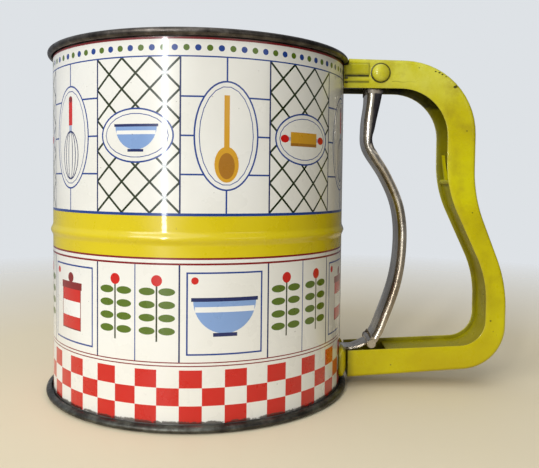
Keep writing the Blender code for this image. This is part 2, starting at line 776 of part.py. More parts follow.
def foot_saddle():
    """A curved plate on the can with two tongues inside the handle's lower end. A window in it
    leaves the link's slot free."""
    inner_radius = WALL_RADIUS + GAP
    outer_radius = inner_radius + SADDLE_THICK
    outline = arc((0, 0), inner_radius, SADDLE_SPREAD, -SADDLE_SPREAD, 12)
    outline += arc((0, 0), outer_radius, -SADDLE_SPREAD, SADDLE_SPREAD, 12)
    middle = (SADDLE_LOW + SADDLE_TOP) / 2
    plate = flat_solid("foot_saddle", [outline], SADDLE_TOP - SADDLE_LOW, at=(0, 0, middle))
    half = HANDLE_WIDTH / 2 - HANDLE_SHEET - GAP
    tongues = []
    for side, near in enumerate([-half, half - HANDLE_SHEET]):
        start = (WALL_RADIUS - GAP / 2, near, 0.0062)
        end = (SADDLE_TONGUE_END_X, near + HANDLE_SHEET, 0.0120)
        tongues.append(block(f"tongue_{side}", start, end))
    window_half = SLOT_HALF_WIDTH + 0.0008
    window = block(
        "saddle_window",
        (WALL_INSIDE, -window_half, SLOT_LOW - 0.0008),
        (LOWER_ARM_END_X, window_half, SADDLE_TOP + OVER),
    )
    attach(cut(join(plate, *tongues), window), "can", YELLOW, 0.3, 0.0, smooth=False)


def pivot_rivet():
    """The rivet through the handle, domed at both ends."""
    face = HANDLE_WIDTH / 2 + GAP
    dome = arc((0, face), (RIVET_HEAD_RADIUS, RIVET_HEAD_HEIGHT), 90, 0, 5)
    profile = dome + [(RIVET_RADIUS, face), (RIVET_RADIUS, -face)]
    profile += arc((0, -face), (RIVET_HEAD_RADIUS, RIVET_HEAD_HEIGHT), 0, -90, 5)
    profile[0], profile[-1] = (0, profile[0][1]), (0, profile[-1][1])
    rivet = turned("pivot_rivet", profile, 16, PIVOT_AT, PLANES["XZ"], closed=False)
    attach(rivet, "can", YELLOW, 0.3, 0.0)


def pivot_bush():
    half = TRIGGER_WIDTH / 2
    profile = tube_profile(RIVET_RADIUS + GAP, BUSH_RADIUS, -half, half)
    attach(turned("pivot_bush", profile, 16, PIVOT_AT, PLANES["XZ"]), "can", STEEL)


def return_spring():
    """A torsion spring round the bush: one leg under the handle's top, one behind the trigger's
    web."""
    steps = 10
    half = SPRING_TURNS * SPRING_PITCH / 2
    upper_end = (0.0900, -half, 0.1380)
    lower_end = (PIVOT[0] - SPRING_RADIUS, half, 0.1165)
    points = [upper_end]
    for i in range(SPRING_TURNS * steps + steps // 4 + 1):
        turn = math.radians(90) + 2 * math.pi * i / steps
        across = SPRING_RADIUS * math.cos(turn)
        up = SPRING_RADIUS * math.sin(turn)
        along = -half + SPRING_PITCH * i / steps
        points.append((PIVOT[0] + across, along, PIVOT[1] + up))
    points.append((lower_end[0], points[-1][1], lower_end[2]))
    attach(wire("return_spring", points, SPRING_WIRE), "can", STEEL)


def main():
    can_body()
    rim_wire()
    base_ring()
    screens()
    bearing_bar()
    spindle()
    agitators()
    crank()
    trigger()
    foot_pin()
    drive_link()
    handle_shell()
    handle_strip()
    top_bracket()
    foot_saddle()
    pivot_rivet()
    pivot_bush()
    return_spring()
    bpy.context.view_layer.update()


main()
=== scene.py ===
"""The looks of the squeeze-handle flour sifter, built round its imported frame: a lithographed can
with a generic kitchen print, a yellow enamelled channel handle, a bright tinned trigger and
three woven screens. Shapes are written with the can's axis at x = 0, in metres, and make()
moves them to the axis's place in the frame. The print is drawn on the unrolled wall, in
millimetres: u runs round the can from its front (-Y) towards the handle, z runs up."""

import math
import random

import bmesh
import bpy
import numpy as np
from mathutils import Matrix, Vector
from mathutils.geometry import delaunay_2d_cdt


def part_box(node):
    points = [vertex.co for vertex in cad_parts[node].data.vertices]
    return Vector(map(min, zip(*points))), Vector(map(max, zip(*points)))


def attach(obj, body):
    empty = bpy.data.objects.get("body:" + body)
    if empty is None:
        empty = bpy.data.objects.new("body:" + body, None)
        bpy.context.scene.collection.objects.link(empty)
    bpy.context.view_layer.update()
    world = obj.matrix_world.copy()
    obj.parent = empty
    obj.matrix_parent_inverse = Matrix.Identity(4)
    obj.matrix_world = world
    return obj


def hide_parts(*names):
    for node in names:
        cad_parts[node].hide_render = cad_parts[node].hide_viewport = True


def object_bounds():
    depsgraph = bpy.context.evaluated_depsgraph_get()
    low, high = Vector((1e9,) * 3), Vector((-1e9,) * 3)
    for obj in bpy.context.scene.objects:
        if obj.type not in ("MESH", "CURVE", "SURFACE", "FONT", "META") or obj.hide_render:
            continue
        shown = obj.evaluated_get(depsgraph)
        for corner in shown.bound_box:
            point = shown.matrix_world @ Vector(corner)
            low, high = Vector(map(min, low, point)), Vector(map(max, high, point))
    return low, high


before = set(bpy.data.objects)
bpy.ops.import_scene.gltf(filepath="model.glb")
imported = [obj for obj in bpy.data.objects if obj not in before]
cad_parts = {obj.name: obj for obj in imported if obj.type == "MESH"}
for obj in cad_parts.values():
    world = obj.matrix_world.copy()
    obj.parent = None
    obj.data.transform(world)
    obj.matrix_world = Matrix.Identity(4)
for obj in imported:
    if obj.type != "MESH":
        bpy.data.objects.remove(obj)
cad_low, cad_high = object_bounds()

ring_low, ring_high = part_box("base_ring")
AXIS_X = (ring_low.x + ring_high.x) / 2
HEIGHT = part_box("can_body")[1].z

SHEET = 0.0005
WALL = 0.0616
BEAD_HEIGHT, BEAD_HALF, BEAD_PROUD = 0.068, 0.0026, 0.0009
CURL_X, CURL_Z = 0.0011, 0.00115
PIVOT = Vector((0.0766, 0.1344))
FOOT_PIN = Vector((0.0750, 0.0190))
HANDLE_HALF = 0.0100
HANDLE_SHEET = 0.0006
TRIGGER_HALF = 0.0082
SLOT_Z, SLOT_HALF_WIDE, SLOT_HALF_TALL = 0.0162, 0.006, 0.0022


# ---------------------------------------------------------------- materials

def linear(red, green, blue):
    """A colour given as 8-bit sRGB, in linear light."""
    def channel(value):
        value /= 255
        return value / 12.92 if value <= 0.04045 else ((value + 0.055) / 1.055) ** 2.4

    return (channel(red), channel(green), channel(blue), 1)


class Look:
    """A Principled material and short ways to add nodes to it."""

    def __init__(self, name, roughness, metallic=0.0, coat=0.0, specular=0.5):
        self.material = bpy.data.materials.new(name)
        self.material.use_nodes = True
        self.tree = self.material.node_tree
        self.shader = self.tree.nodes["Principled BSDF"]
        self.shader.inputs["Roughness"].default_value = roughness
        self.shader.inputs["Metallic"].default_value = metallic
        self.shader.inputs["Coat Weight"].default_value = coat
        self.shader.inputs["Coat Roughness"].default_value = 0.06
        self.shader.inputs["Specular IOR Level"].default_value = specular
        self.place = self.add("ShaderNodeTexCoord").outputs["Object"]

    def add(self, kind, inputs=(), **settings):
        node = self.tree.nodes.new(kind)
        for key, value in settings.items():
            setattr(node, key, value)
        for key, value in dict(inputs).items():
            if isinstance(value, bpy.types.NodeSocket):
                self.tree.links.new(value, node.inputs[key])
            else:
                node.inputs[key].default_value = value
        return node

    def stretched(self, scale):
        """Object coordinates scaled by three factors, for streaks."""
        return self.add("ShaderNodeMapping", {"Vector": self.place, "Scale": scale}).outputs[0]

    def noise(self, scale, detail=4, rough=0.55, place=None):
        made = self.add(
            "ShaderNodeTexNoise",
            {"Vector": place or self.place, "Scale": scale, "Detail": detail, "Roughness": rough},
        )
        return made.outputs["Fac"]

    def ramp(self, value, *stops):
        """A value mapped through (position, value or colour) stops."""
        ramp = self.add("ShaderNodeValToRGB", {"Fac": value})
        points = ramp.color_ramp.elements
        while len(points) < len(stops):
            points.new(0.5)
        for point, (position, colour) in zip(points, stops):
            point.position = position
            point.color = colour if isinstance(colour, tuple) else (colour, colour, colour, 1)
        return ramp.outputs["Color"]

    def mix(self, share, first, second, how="MIX"):
        """Two colours mixed. The node's sockets share their names, so they go by number."""
        sockets = {0: share, 6: first, 7: second}
        return self.add("ShaderNodeMix", sockets, data_type="RGBA", blend_type=how).outputs[2]

    def maths(self, operation, first, second):
        return self.add("ShaderNodeMath", {0: first, 1: second}, operation=operation).outputs[0]

    def height(self):
        """How high a point is, in metres."""
        return self.add("ShaderNodeSeparateXYZ", {"Vector": self.place}).outputs["Z"]

    def between(self, value, low, high):
        """0 below low and 1 above high."""
        made = self.add(
            "ShaderNodeMapRange", {"Value": value, "From Min": low, "From Max": high}, clamp=True
        )
        return made.outputs[0]

    def attribute(self, name, output="Fac"):
        return self.add("ShaderNodeAttribute", attribute_name=name).outputs[output]

    def spots(self, scale, detail, rough, low, high):
        """A mask of spots: 0 where the noise is under low and 1 where it is over high."""
        return self.ramp(self.noise(scale, detail, rough), (low, 0.0), (high, 1.0))

    def over(self, colour, mask, share, tint):
        """The colour with a share of a tint laid over it, where the mask says."""
        return self.mix(self.maths("MULTIPLY", mask, share), colour, tint)

    def set(self, socket, value):
        self.tree.links.new(value, self.shader.inputs[socket])

    def set_roughness(self, noise, low, high):
        self.set("Roughness", self.ramp(noise, (0.3, low), (0.7, high)))

    def bump(self, value, strength, distance):
        made = self.add(
            "ShaderNodeBump", {"Height": value, "Strength": strength, "Distance": distance}
        )
        self.set("Normal", made.outputs[0])
        return self


def printed_enamel():
    """Lithographed inks under a glossy varnish, a little yellowed, with specks and edge rust."""
    look = Look("printed_enamel", 0.36, coat=0.5, specular=0.4)
    tone = look.ramp(look.noise(22, 5), (0.3, (0.81, 0.80, 0.77, 1)), (0.7, (0.88, 0.88, 0.88, 1)))
    colour = look.mix(1.0, look.attribute("ink", "Color"), tone, "MULTIPLY")
    colour = look.over(colour, look.spots(620, 2, 0.6, 0.755, 0.78), 0.55, linear(96, 84, 66))
    foot = look.between(look.height(), 0.0054, 0.0034)
    rim = look.between(look.height(), 0.1364, 0.1380)
    edge = look.maths("MULTIPLY", look.maths("MAXIMUM", foot, rim), look.noise(260, 5, 0.7))
    rust = look.ramp(edge, (0.36, 0.0), (0.46, 1.0))
    look.set("Base Color", look.over(colour, rust, 0.85, linear(44, 34, 28)))
    look.set_roughness(look.noise(90, 4), 0.22, 0.40)
    return look.bump(look.noise(16, 3), 0.25, 0.0012).material


def yellow_enamel(name="yellow_enamel", coat=0.15, specular=0.25):
    """Yellow enamel: mottled, with a painted highlight at the top and painted shade low down, a few dark
    chips, and darkened where a piece's attribute says so, for real chips and for painted shade."""
    look = Look(name, 0.34, coat=coat, specular=specular)
    body = look.ramp(
        look.noise(30, 5, 0.6),
        (0.30, linear(160, 146, 0)),
        (0.50, linear(182, 170, 0)),
        (0.72, linear(196, 190, 4)),
    )
    # Painted highlight: the top of the handle is made paler, as if lit from above.
    pale, paler = linear(186, 180, 0), linear(214, 214, 96)
    painted_top_highlight = look.ramp(look.noise(55, 6, 0.65), (0.35, pale), (0.65, paler))
    colour = look.over(body, look.between(look.height(), 0.118, 0.136), 0.75, painted_top_highlight)
    colour = look.over(colour, look.spots(75, 6, 0.7, 0.52, 0.70), 0.45, linear(140, 120, 4))
    # Painted shade: the colour is darkened low down, on the lower arm.
    colour = look.over(colour, look.between(look.height(), 0.030, 0.012), 0.5, linear(160, 136, 0))
    chips = look.spots(240, 3, 0.62, 0.735, 0.75)
    colour = look.mix(chips, colour, linear(40, 34, 18))
    # Darkened where the piece's attribute says so: real chips, and painted shade in hollows, grooves and the
    # channel's inside.
    patchy = look.ramp(look.noise(160, 5, 0.65), (0.2, 0.75), (0.6, 1.0))
    wear_and_painted_light = look.maths("MULTIPLY", look.attribute("wear_and_painted_light"), patchy)
    look.set("Base Color", look.mix(wear_and_painted_light, colour, linear(26, 25, 10)))
    look.set_roughness(look.noise(150, 4), 0.22, 0.42)
    dents = look.maths("SUBTRACT", look.noise(45, 4), look.maths("MULTIPLY", chips, 0.5))
    return look.bump(dents, 0.35, 0.0009).material


def tarnished_steel():
    """Bare steel gone dark, with grey-green mottling and rubbed bright spots."""
    look = Look("tarnished_steel", 0.42, metallic=0.85)
    mottled = look.ramp(
        look.noise(130, 7, 0.7),
        (0.28, linear(30, 28, 26)),
        (0.48, linear(72, 70, 64)),
        (0.62, linear(104, 106, 98)),
        (0.78, linear(150, 148, 138)),
    )
    rust = look.spots(60, 6, 0.75, 0.54, 0.70)
    look.set("Base Color", look.over(mottled, rust, 0.55, linear(58, 40, 28)))
    look.set_roughness(look.noise(300, 5), 0.28, 0.62)
    look.set("Metallic", look.ramp(rust, (0.0, 0.9), (1.0, 0.5)))
    return look.bump(look.noise(420, 5, 0.7), 0.35, 0.0003).material


def bright_tin():
    """Tin plate with a warm grey-brown stain and fine scratches along it, with a painted dark
    reflection where a piece's attribute says so."""
    look = Look("bright_tin", 0.24, metallic=1.0)
    colour = look.ramp(
        look.noise(55, 4, 0.55, look.stretched((2.0, 2.0, 0.6))),
        (0.30, linear(132, 118, 100)),
        (0.50, linear(172, 162, 146)),
        (0.72, linear(216, 210, 200)),
    )
    colour = look.over(colour, look.spots(210, 3, 0.6, 0.62, 0.72), 0.35, linear(84, 66, 50))
    # Painted reflection: a dark blue band laid into the colour where the attribute says so.
    look.set("Base Color", look.mix(look.attribute("wear_and_painted_light"), colour, linear(16, 18, 40)))
    look.set_roughness(look.noise(500, 3, 0.6, look.stretched((1, 1, 0.1))), 0.18, 0.34)
    return look.bump(look.noise(60, 3), 0.2, 0.0006).material


def dull_tin(name="dull_tin", tone=1.0):
    """Aged tinned sheet: soft grey spangle, flour-dulled and faintly scratched."""
    look = Look(name, 0.45, metallic=0.9)
    cells = look.add("ShaderNodeTexVoronoi", {"Vector": look.place, "Scale": 170.0})
    spangle = look.ramp(cells.outputs["Distance"], (0.0, 0.30 * tone), (1.0, 0.44 * tone))
    grey, pale = linear(118, 114, 106), linear(196, 194, 188)
    cloudy = look.ramp(look.noise(40, 6, 0.65), (0.3, grey), (0.7, pale))
    colour = look.mix(0.45, cloudy, spangle)
    stain = look.spots(95, 6, 0.75, 0.58, 0.74)
    look.set("Base Color", look.over(colour, stain, 0.45, linear(92, 70, 50)))
    look.set_roughness(look.noise(220, 4), 0.34, 0.6)
    return look.bump(look.noise(380, 4), 0.25, 0.0002).material


def wall_steel():
    """The can's own sheet: dull tin inside and dark, stained steel at the curled rim."""
    look = Look("wall_steel", 0.4, metallic=0.9)
    grey, pale = linear(156, 151, 142), linear(214, 212, 205)
    cloudy = look.ramp(look.noise(34, 6, 0.65), (0.3, grey), (0.7, pale))
    rim_tone = look.ramp(
        look.noise(120, 7, 0.72),
        (0.30, linear(34, 30, 28)),
        (0.52, linear(84, 78, 72)),
        (0.68, linear(122, 116, 108)),
        (0.84, linear(168, 164, 156)),
    )
    rim = look.between(look.height(), 0.1366, 0.1376)
    look.set("Base Color", look.mix(rim, cloudy, rim_tone))
    look.set_roughness(look.noise(260, 5), 0.24, 0.5)
    return look.bump(look.noise(340, 5, 0.7), 0.3, 0.0003).material


def pale_floor():
    """A warm pale worktop that fades out with distance."""
    look = Look("pale_floor", 0.5, specular=0.12)
    tone = look.ramp(look.noise(3, 3), (0.3, linear(226, 212, 180)), (0.7, linear(231, 218, 188)))
    look.set("Base Color", tone)
    reach = look.add("ShaderNodeVectorMath", {0: look.place}, operation="LENGTH").outputs["Value"]
    look.set("Alpha", look.ramp(look.between(reach, 0.16, 0.52), (0.0, 1.0), (1.0, 0.0)))
    return look.material


PRINT = printed_enamel()
YELLOW = yellow_enamel()
DUSTY = yellow_enamel("dusty_enamel", 0.0, 0.06)
DARK = tarnished_steel()
BRIGHT = bright_tin()
TIN = dull_tin()
WIRE = dull_tin("screen_wire", 1.25)
SHEET_STEEL = wall_steel()


# ---------------------------------------------------------------- meshes

def clamp(value, low=0, high=1):
    return min(max(value, low), high)


def make(name, points, faces, body, look, replaces=(), sharp=35):
    """A piece of the object, from points in the can's coordinates."""
    mesh = bpy.data.meshes.new(name)
    mesh.from_pydata([(p[0] + AXIS_X, p[1], p[2]) for p in points], [], faces)
    mesh.materials.append(look)
    mesh.shade_smooth()
    mesh.set_sharp_from_angle(angle=math.radians(sharp))
    obj = bpy.data.objects.new(name, mesh)
    bpy.context.scene.collection.objects.link(obj)
    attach(obj, body)
    if replaces:
        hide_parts(*replaces)
    return obj


def arc(centre, radius, start, end, steps):
    """Points on an arc, angles in degrees. A radius may be a pair."""
    across, up = radius if isinstance(radius, tuple) else (radius, radius)
    turns = [math.radians(start + (end - start) * i / steps) for i in range(steps + 1)]
    return [Vector((centre[0] + across * math.cos(a), centre[1] + up * math.sin(a))) for a in turns]


def rounded_path(corners, steps):
    """An open path through corners (x, z, radius), each turned by an arc."""
    path = [Vector(corners[0][:2])]
    for before, here, after in zip(corners, corners[1:], corners[2:]):
        corner = Vector(here[:2])
        back = (Vector(before[:2]) - corner).normalized()
        on = (Vector(after[:2]) - corner).normalized()
        half = back.angle(on) / 2
        centre = corner + (back + on).normalized() * here[2] / math.sin(half)
        first = corner + back * here[2] / math.tan(half) - centre
        last = corner + on * here[2] / math.tan(half) - centre
        start = math.atan2(first.y, first.x)
        sweep = (math.atan2(last.y, last.x) - start + math.pi) % (2 * math.pi) - math.pi
        for i in range(steps + 1):
            turn = start + sweep * i / steps
            path.append(centre + here[2] * Vector((math.cos(turn), math.sin(turn))))
    path.append(Vector(corners[-1][:2]))
    return path


def smooth_path(points, steps):
    """A smooth curve through the points, by Catmull and Rom's rule."""
    points = [Vector(p) for p in points]
    ends = [2 * points[0] - points[1], *points, 2 * points[-1] - points[-2]]
    path = []
    for a, b, c, d in zip(ends, ends[1:], ends[2:], ends[3:]):
        for i in range(steps):
            t = i / steps
            bend = (2 * a - 5 * b + 4 * c - d) * t * t + (3 * b - a - 3 * c + d) * t ** 3
            path.append((2 * b + (c - a) * t + bend) / 2)
    return path + [points[-1]]


def offset_path(path, distance):
    """The path moved sideways, to its left where the distance is positive."""
    moved = []
    for i, point in enumerate(path):
        along = path[min(i + 1, len(path) - 1)] - path[max(i - 1, 0)]
        moved.append(point + Vector((-along.y, along.x)).normalized() * distance)
    return moved


def evened(first, second, longest):
    """Two paired paths, with points added so that no step of either is longer than that."""
    out = ([], [])
    for i in range(len(first) - 1):
        a, b, c, d = first[i], first[i + 1], second[i], second[i + 1]
        count = max(1, math.ceil(max((b - a).length, (d - c).length) / longest))
        for k in range(count):
            out[0].append(a.lerp(b, k / count))
            out[1].append(c.lerp(d, k / count))
    out[0].append(first[-1])
    out[1].append(second[-1])
    return out


def turned(profile, around=144, closed=True):
    """Points and faces of a profile (radius, z) turned round the Z axis."""
    points = []
    for i in range(around):
        turn = 2 * math.pi * i / around
        points += [(p[0] * math.cos(turn), p[0] * math.sin(turn), p[1]) for p in profile]
    count = len(profile)
    faces = []
    for i in range(around):
        here, on = i * count, (i + 1) % around * count
        for k in range(count if closed else count - 1):
            n = (k + 1) % count
            faces.append((here + k, here + n, on + n, on + k))
    return points, faces


def lofted(sections):
    """Points and faces of a closed section carried along, with flat ends."""
    points = [p for section in sections for p in section]
    count = len(sections[0])
    faces = []
    for i in range(len(sections) - 1):
        here, on = i * count, (i + 1) * count
        for k in range(count):
            n = (k + 1) % count
            faces.append((here + k, on + k, on + n, here + n))
    faces.append(tuple(range(count)))
    faces.append(tuple(range(len(points) - 1, len(points) - count - 1, -1)))
    return points, faces


def channel_section(depth, half, sheet, radius, stations):
    """A channel's section (depth from the web's outer face, y), with rounded corners and lips.
    Stations are shares of the flanges' flat part at which they get a point."""
    small, lip, steps = radius - sheet, depth - 0.1 * sheet, 6
    extra = [radius + share * (depth - sheet - radius) for share in stations]
    outside = [(depth - sheet / 2, -half), *((d, -half) for d in extra[::-1])]
    outside += [tuple(p) for p in arc((radius, radius - half), radius, 270, 180, steps)]
    outside += [tuple(p) for p in arc((radius, half - radius), radius, 180, 90, steps)]
    outside += [*((d, half) for d in extra), (depth - sheet / 2, half)]
    inside = [(lip, half - 0.2 * sheet), (lip, half - 0.8 * sheet), (depth - sheet / 2, half - sheet)]
    inside += [(d, half - sheet) for d in extra[::-1]]
    inside += [tuple(p) for p in arc((radius, half - radius), small, 90, 180, steps)]
    inside += [tuple(p) for p in arc((radius, radius - half), small, 180, 270, steps)]
    inside += [(d, sheet - half) for d in extra]
    inside += [(depth - sheet / 2, sheet - half), (lip, 0.8 * sheet - half), (lip, 0.2 * sheet - half)]
    return outside, inside


def channel(web, edge, half, sheet, radius, stations):
    """Sections of a channel whose web follows one path and whose flanges end at the other, and
    how many points of each section lie outside."""
    sections = []
    for here, there in zip(web, edge):
        along = (there - here).normalized()
        depth = (there - here).length
        outside, inside = channel_section(depth, half, sheet, radius, stations)
        sections.append([(here.x + along.x * p, y, here.y + along.y * p) for p, y in outside + inside])
    return sections, len(outside)


def set_wear_and_painted_light(obj, values):
    """Says how dark each point of a piece is, for its material: real wear, and painted shade and reflection.
    """
    obj.data.attributes.new("wear_and_painted_light", "FLOAT", "POINT").data.foreach_set("value", list(values))


def ribbon(path, half, thick):
    """Sections of a flat strip with rounded edges that follows a path."""
    sections = []
    inner = offset_path(path, thick)
    for low, high in zip(path, inner):
        middle = (low + high) / 2
        ring = [(low, -half + thick / 3), (low, half - thick / 3), (middle, half)]
        ring += [(high, half - thick / 3), (high, -half + thick / 3), (middle, -half)]
        sections.append([(p.x, y, p.y) for p, y in ring])
    return sections


def quads(columns, rows, flip=False):
    """Faces of a grid whose points are listed column by column."""
    faces = []
    for i in range(columns):
        for k in range(rows):
            a = i * (rows + 1) + k
            quad = (a, a + rows + 1, a + rows + 2, a + 1)
            faces.append(quad[::-1] if flip else quad)
    return faces


def thickened(front, count):
    """Faces of a closed sheet: the front ones, those behind, whose points come count later, and
    the rim between them."""
    back = [tuple(i + count for i in face[::-1]) for face in front]
    edges = {(a, b) for face in front for a, b in zip(face, face[1:] + face[:1])}
    rim = [(b, a, a + count, b + count) for a, b in sorted(edges) if (b, a) not in edges]
    return front + back + rim


def together(*shapes):
    """Several (points, faces) as one."""
    points, faces = [], []
    for some, their in shapes:
        start = len(points)
        points += some
        faces += [tuple(start + i for i in face) for face in their]
    return points, faces


# ---------------------------------------------------------------- flat drawing on the wall

class Drawing:
    """Shapes in paint order on a flat (u, z) sheet, divided into triangles of one colour each."""

    def __init__(self):
        self.shapes = []

    def area(self, colour, *loops):
        """A filled area. Loops inside others are holes. A colour of None cuts the sheet away."""
        loops = [np.array([tuple(p)[:2] for p in loop], float) for loop in loops]
        self.shapes.append((colour, loops))

    def oval(self, colour, centre, radius, steps=20):
        self.area(colour, arc(centre, radius, 0, 360 * (1 - 1 / steps), steps - 1))

    def ring(self, colour, centre, radius, width):
        """An oval line. The radius is a pair."""
        steps = 22
        loops = []
        for half in (width / 2, -width / 2):
            size = (radius[0] + half, radius[1] + half)
            loops.append(arc(centre, size, 0, 360 * (1 - 1 / steps), steps - 1))
        self.area(colour, *loops)

    def line(self, colour, points, width):
        points = [Vector(p) for p in points]
        left, right = [], []
        for i, point in enumerate(points):
            along = points[min(i + 1, len(points) - 1)] - points[max(i - 1, 0)]
            side = Vector((-along.y, along.x)).normalized() * (width / 2)
            left.append(point + side)
            right.append(point - side)
        self.area(colour, left + right[::-1])

    def box(self, colour, left, low, right, high):
        self.area(colour, [Vector(p) for p in ((left, low), (right, low), (right, high), (left, high))])

    def triangles(self, grid_u, grid_z, ground):
        """(points, triangles, colours), with every grid line an edge."""
        points, edges = [], []
        for u in grid_u:
            start = len(points)
            points += [(u, z) for z in grid_z]
            edges += [(start + i, start + i + 1) for i in range(len(grid_z) - 1)]
        for z in grid_z:
            start = len(points)
            points += [(u, z) for u in grid_u]
            edges += [(start + i, start + i + 1) for i in range(len(grid_u) - 1)]
        left, right, low, high = grid_u[0], grid_u[-1], grid_z[0], grid_z[-1]
        for _, loops in self.shapes:
            for loop in loops:
                start, count = len(points), len(loop)
                points += [(clamp(u, left, right), clamp(z, low, high)) for u, z in loop]
                edges += [(start + i, start + (i + 1) % count) for i in range(count)]
        made = delaunay_2d_cdt([Vector(p) for p in points], edges, [], 0, 1e-4)
        flat = np.array([tuple(p) for p in made[0]])
        faces = np.array(made[2])
        corners = flat[faces]
        size = np.abs(np.cross(corners[:, 1] - corners[:, 0], corners[:, 2] - corners[:, 0]))
        faces, corners = faces[size > 1e-6], corners[size > 1e-6]
        middle = corners.mean(axis=1)
        owner = np.full(len(faces), -1)
        for index, (_, loops) in enumerate(self.shapes):
            reach = np.concatenate(loops)
            near = np.flatnonzero(
                (middle >= reach.min(axis=0)).all(axis=1) & (middle <= reach.max(axis=0)).all(axis=1)
            )
            inside = np.zeros(len(near), bool)
            for loop in loops:
                for (u0, z0), (u1, z1) in zip(loop, np.roll(loop, -1, axis=0)):
                    if z0 == z1:
                        continue
                    u, z = middle[near, 0], middle[near, 1]
                    crosses = ((z0 > z) != (z1 > z)) & (u < u0 + (z - z0) * (u1 - u0) / (z1 - z0))
                    inside ^= crosses
            owner[near[inside]] = index
        table = [colour for colour, _ in self.shapes] + [ground]
        keep = np.array([table[i] is not None for i in owner])
        colours = [table[i] for i in owner[keep]]
        return flat, faces[keep], colours


# ---------------------------------------------------------------- inks

GROUND = linear(240, 238, 230)
WHITE = linear(244, 243, 238)
OLIVE = linear(38, 50, 16)
LEAF = linear(86, 112, 18)
BLUE = linear(24, 62, 140)
NAVY = linear(20, 34, 92)
PALE_BLUE = linear(132, 164, 214)
BAND_YELLOW = linear(222, 200, 4)
RED = linear(206, 20, 6)
DEEP_RED = linear(132, 10, 12)
METAL = linear(166, 178, 206)
GOLD = linear(214, 158, 34)
DEEP_GOLD = linear(168, 112, 24)

HALF_TURN = math.pi * WALL * 1000
PRINT_LOW, PRINT_HIGH, PRINT_LIFT = 2.9, 137.6, 0.00006
PANELS = 6
PANEL = HALF_TURN / PANELS
CHECKS, CHECK_ROWS, CHECK_TOP = 24, 3, 22.0
BAND_LOW, BAND_HIGH = 61.5, 76.0
CHECK_BORDER, BAND_BORDER, BAND_EDGE, TOP_BORDER = 2.8, 2.6, 1.0, 6.8


def stripe(d, colour, low, high):
    """A stripe along the whole sheet."""
    d.box(colour, -HALF_TURN / 2, low, HALF_TURN / 2, high)


def upright(d, colour, u, low, high, half=0.3):
    """A thin upright line."""
    d.box(colour, u - half, low, u + half, high)


def checks(d):
    """A border of red and white checks round the foot, under two thin lines."""
    wide, tall = HALF_TURN / CHECKS, (CHECK_TOP - PRINT_LOW) / CHECK_ROWS
    for i in range(CHECKS):
        for k in range(CHECK_ROWS):
            if (i + k) % 2 == 0:
                left, low = i * wide - HALF_TURN / 2, PRINT_LOW + k * tall
                d.box(RED, left, low, left + wide, low + tall)
    for level in (CHECK_TOP + 1.2, CHECK_TOP + 2.4):
        stripe(d, DEEP_RED, level, level + 0.4)


def band(d):
    """The plain yellow band over the bead, between thin lines."""
    stripe(d, BAND_YELLOW, BAND_LOW, BAND_HIGH)
    for low, high in ((-0.7, 0.0), (-BAND_BORDER, -1.9)):
        stripe(d, DEEP_RED, BAND_LOW + low, BAND_LOW + high)
    stripe(d, BLUE, BAND_HIGH, BAND_HIGH + BAND_EDGE)


def top_border(d):
    """A red edge line over a row of dots and a blue line."""
    stripe(d, DEEP_RED, PRINT_HIGH - 0.75, PRINT_HIGH)
    dots = PANELS * 8
    for i in range(dots):
        u = HALF_TURN * ((i + 0.5) / dots - 0.5)
        d.oval(BLUE if i % 2 else LEAF, (u, PRINT_HIGH - 3.6), (1.1, 1.1), 16)
    stripe(d, BLUE, PRINT_HIGH - TOP_BORDER, PRINT_HIGH - 6.3)


def trellis(d, left, right, low, high):
    """Crossed diagonal lines that fill a panel, three diamonds wide."""
    across = (right - left) / 3
    up = (high - low) / round((high - low) / across)
    rise = (high - low) * across / up
    for lean in (1, -1):
        for i in range(-8, 12):
            foot = left + i * across
            a, b = Vector((foot, low)), Vector((foot + lean * rise, high))
            start, end = sorted(((left - a.x) / (b.x - a.x), (right - a.x) / (b.x - a.x)))
            start, end = max(start, 0), min(end, 1)
            if end - start > 0.01:
                d.line(OLIVE, [a.lerp(b, start), a.lerp(b, end)], 0.8)


def tiles(d, left, right, low, high):
    """Thin blue tile joints."""
    for i in range(3):
        upright(d, BLUE, left + (right - left) * i / 2, low, high)
    for k in range(1, 4):
        z = low + (high - low) * k / 4
        d.box(BLUE, left, z - 0.3, right, z + 0.3)


def plaque(d, u, z, wide, tall):
    """A cleared oval with a thin double edge, to set a motif in."""
    d.oval(BLUE, (u, z), (wide + 0.6, tall + 0.6), 48)
    d.oval(GROUND, (u, z), (wide, tall), 48)
    d.ring(BLUE, (u, z), (wide - 1.4, tall - 1.4), 0.3)


# The motifs are drawn about (0, 0), and place() sets them in the print.

def whisk(d):
    d.box(RED, -1.1, 5.0, 1.1, 13.0)
    d.oval(DEEP_RED, (0, 13.0), (1.1, 1.0), 16)
    d.box(METAL, -0.8, 2.6, 0.8, 5.0)
    for wide in (1.2, 2.9, 4.4):
        d.ring(NAVY, (0, -4.2), (wide, 7.4), 0.4)


def spoon(d):
    d.box(GOLD, -0.8, -3.0, 0.8, 13.0)
    d.oval(GOLD, (0, -7.0), (3.6, 5.2), 32)
    d.oval(DEEP_GOLD, (0, -7.4), (2.4, 3.8), 32)


def rolling_pin(d):
    for side in (-1, 1):
        d.box(METAL, side * 8.0 - 0.8, -0.7, side * 8.0 + 0.8, 0.7)
        d.oval(RED, (side * 10.2, 0), (2.0, 1.5), 24)
    d.box(GOLD, -7.4, -2.7, 7.4, 2.7)
    d.box(DEEP_GOLD, -7.4, -2.7, 7.4, -1.5)


def bowl(d):
    d.area(PALE_BLUE, [Vector((8.4, 3.6)), *arc((0, 3.6), (8.4, 8.8), 0, -180, 24)])
    d.box(WHITE, -7.9, 0.4, 7.9, 1.8)
    d.box(NAVY, -8.9, 3.2, 8.9, 4.2)
    d.box(NAVY, -3.2, -6.0, 3.2, -5.0)


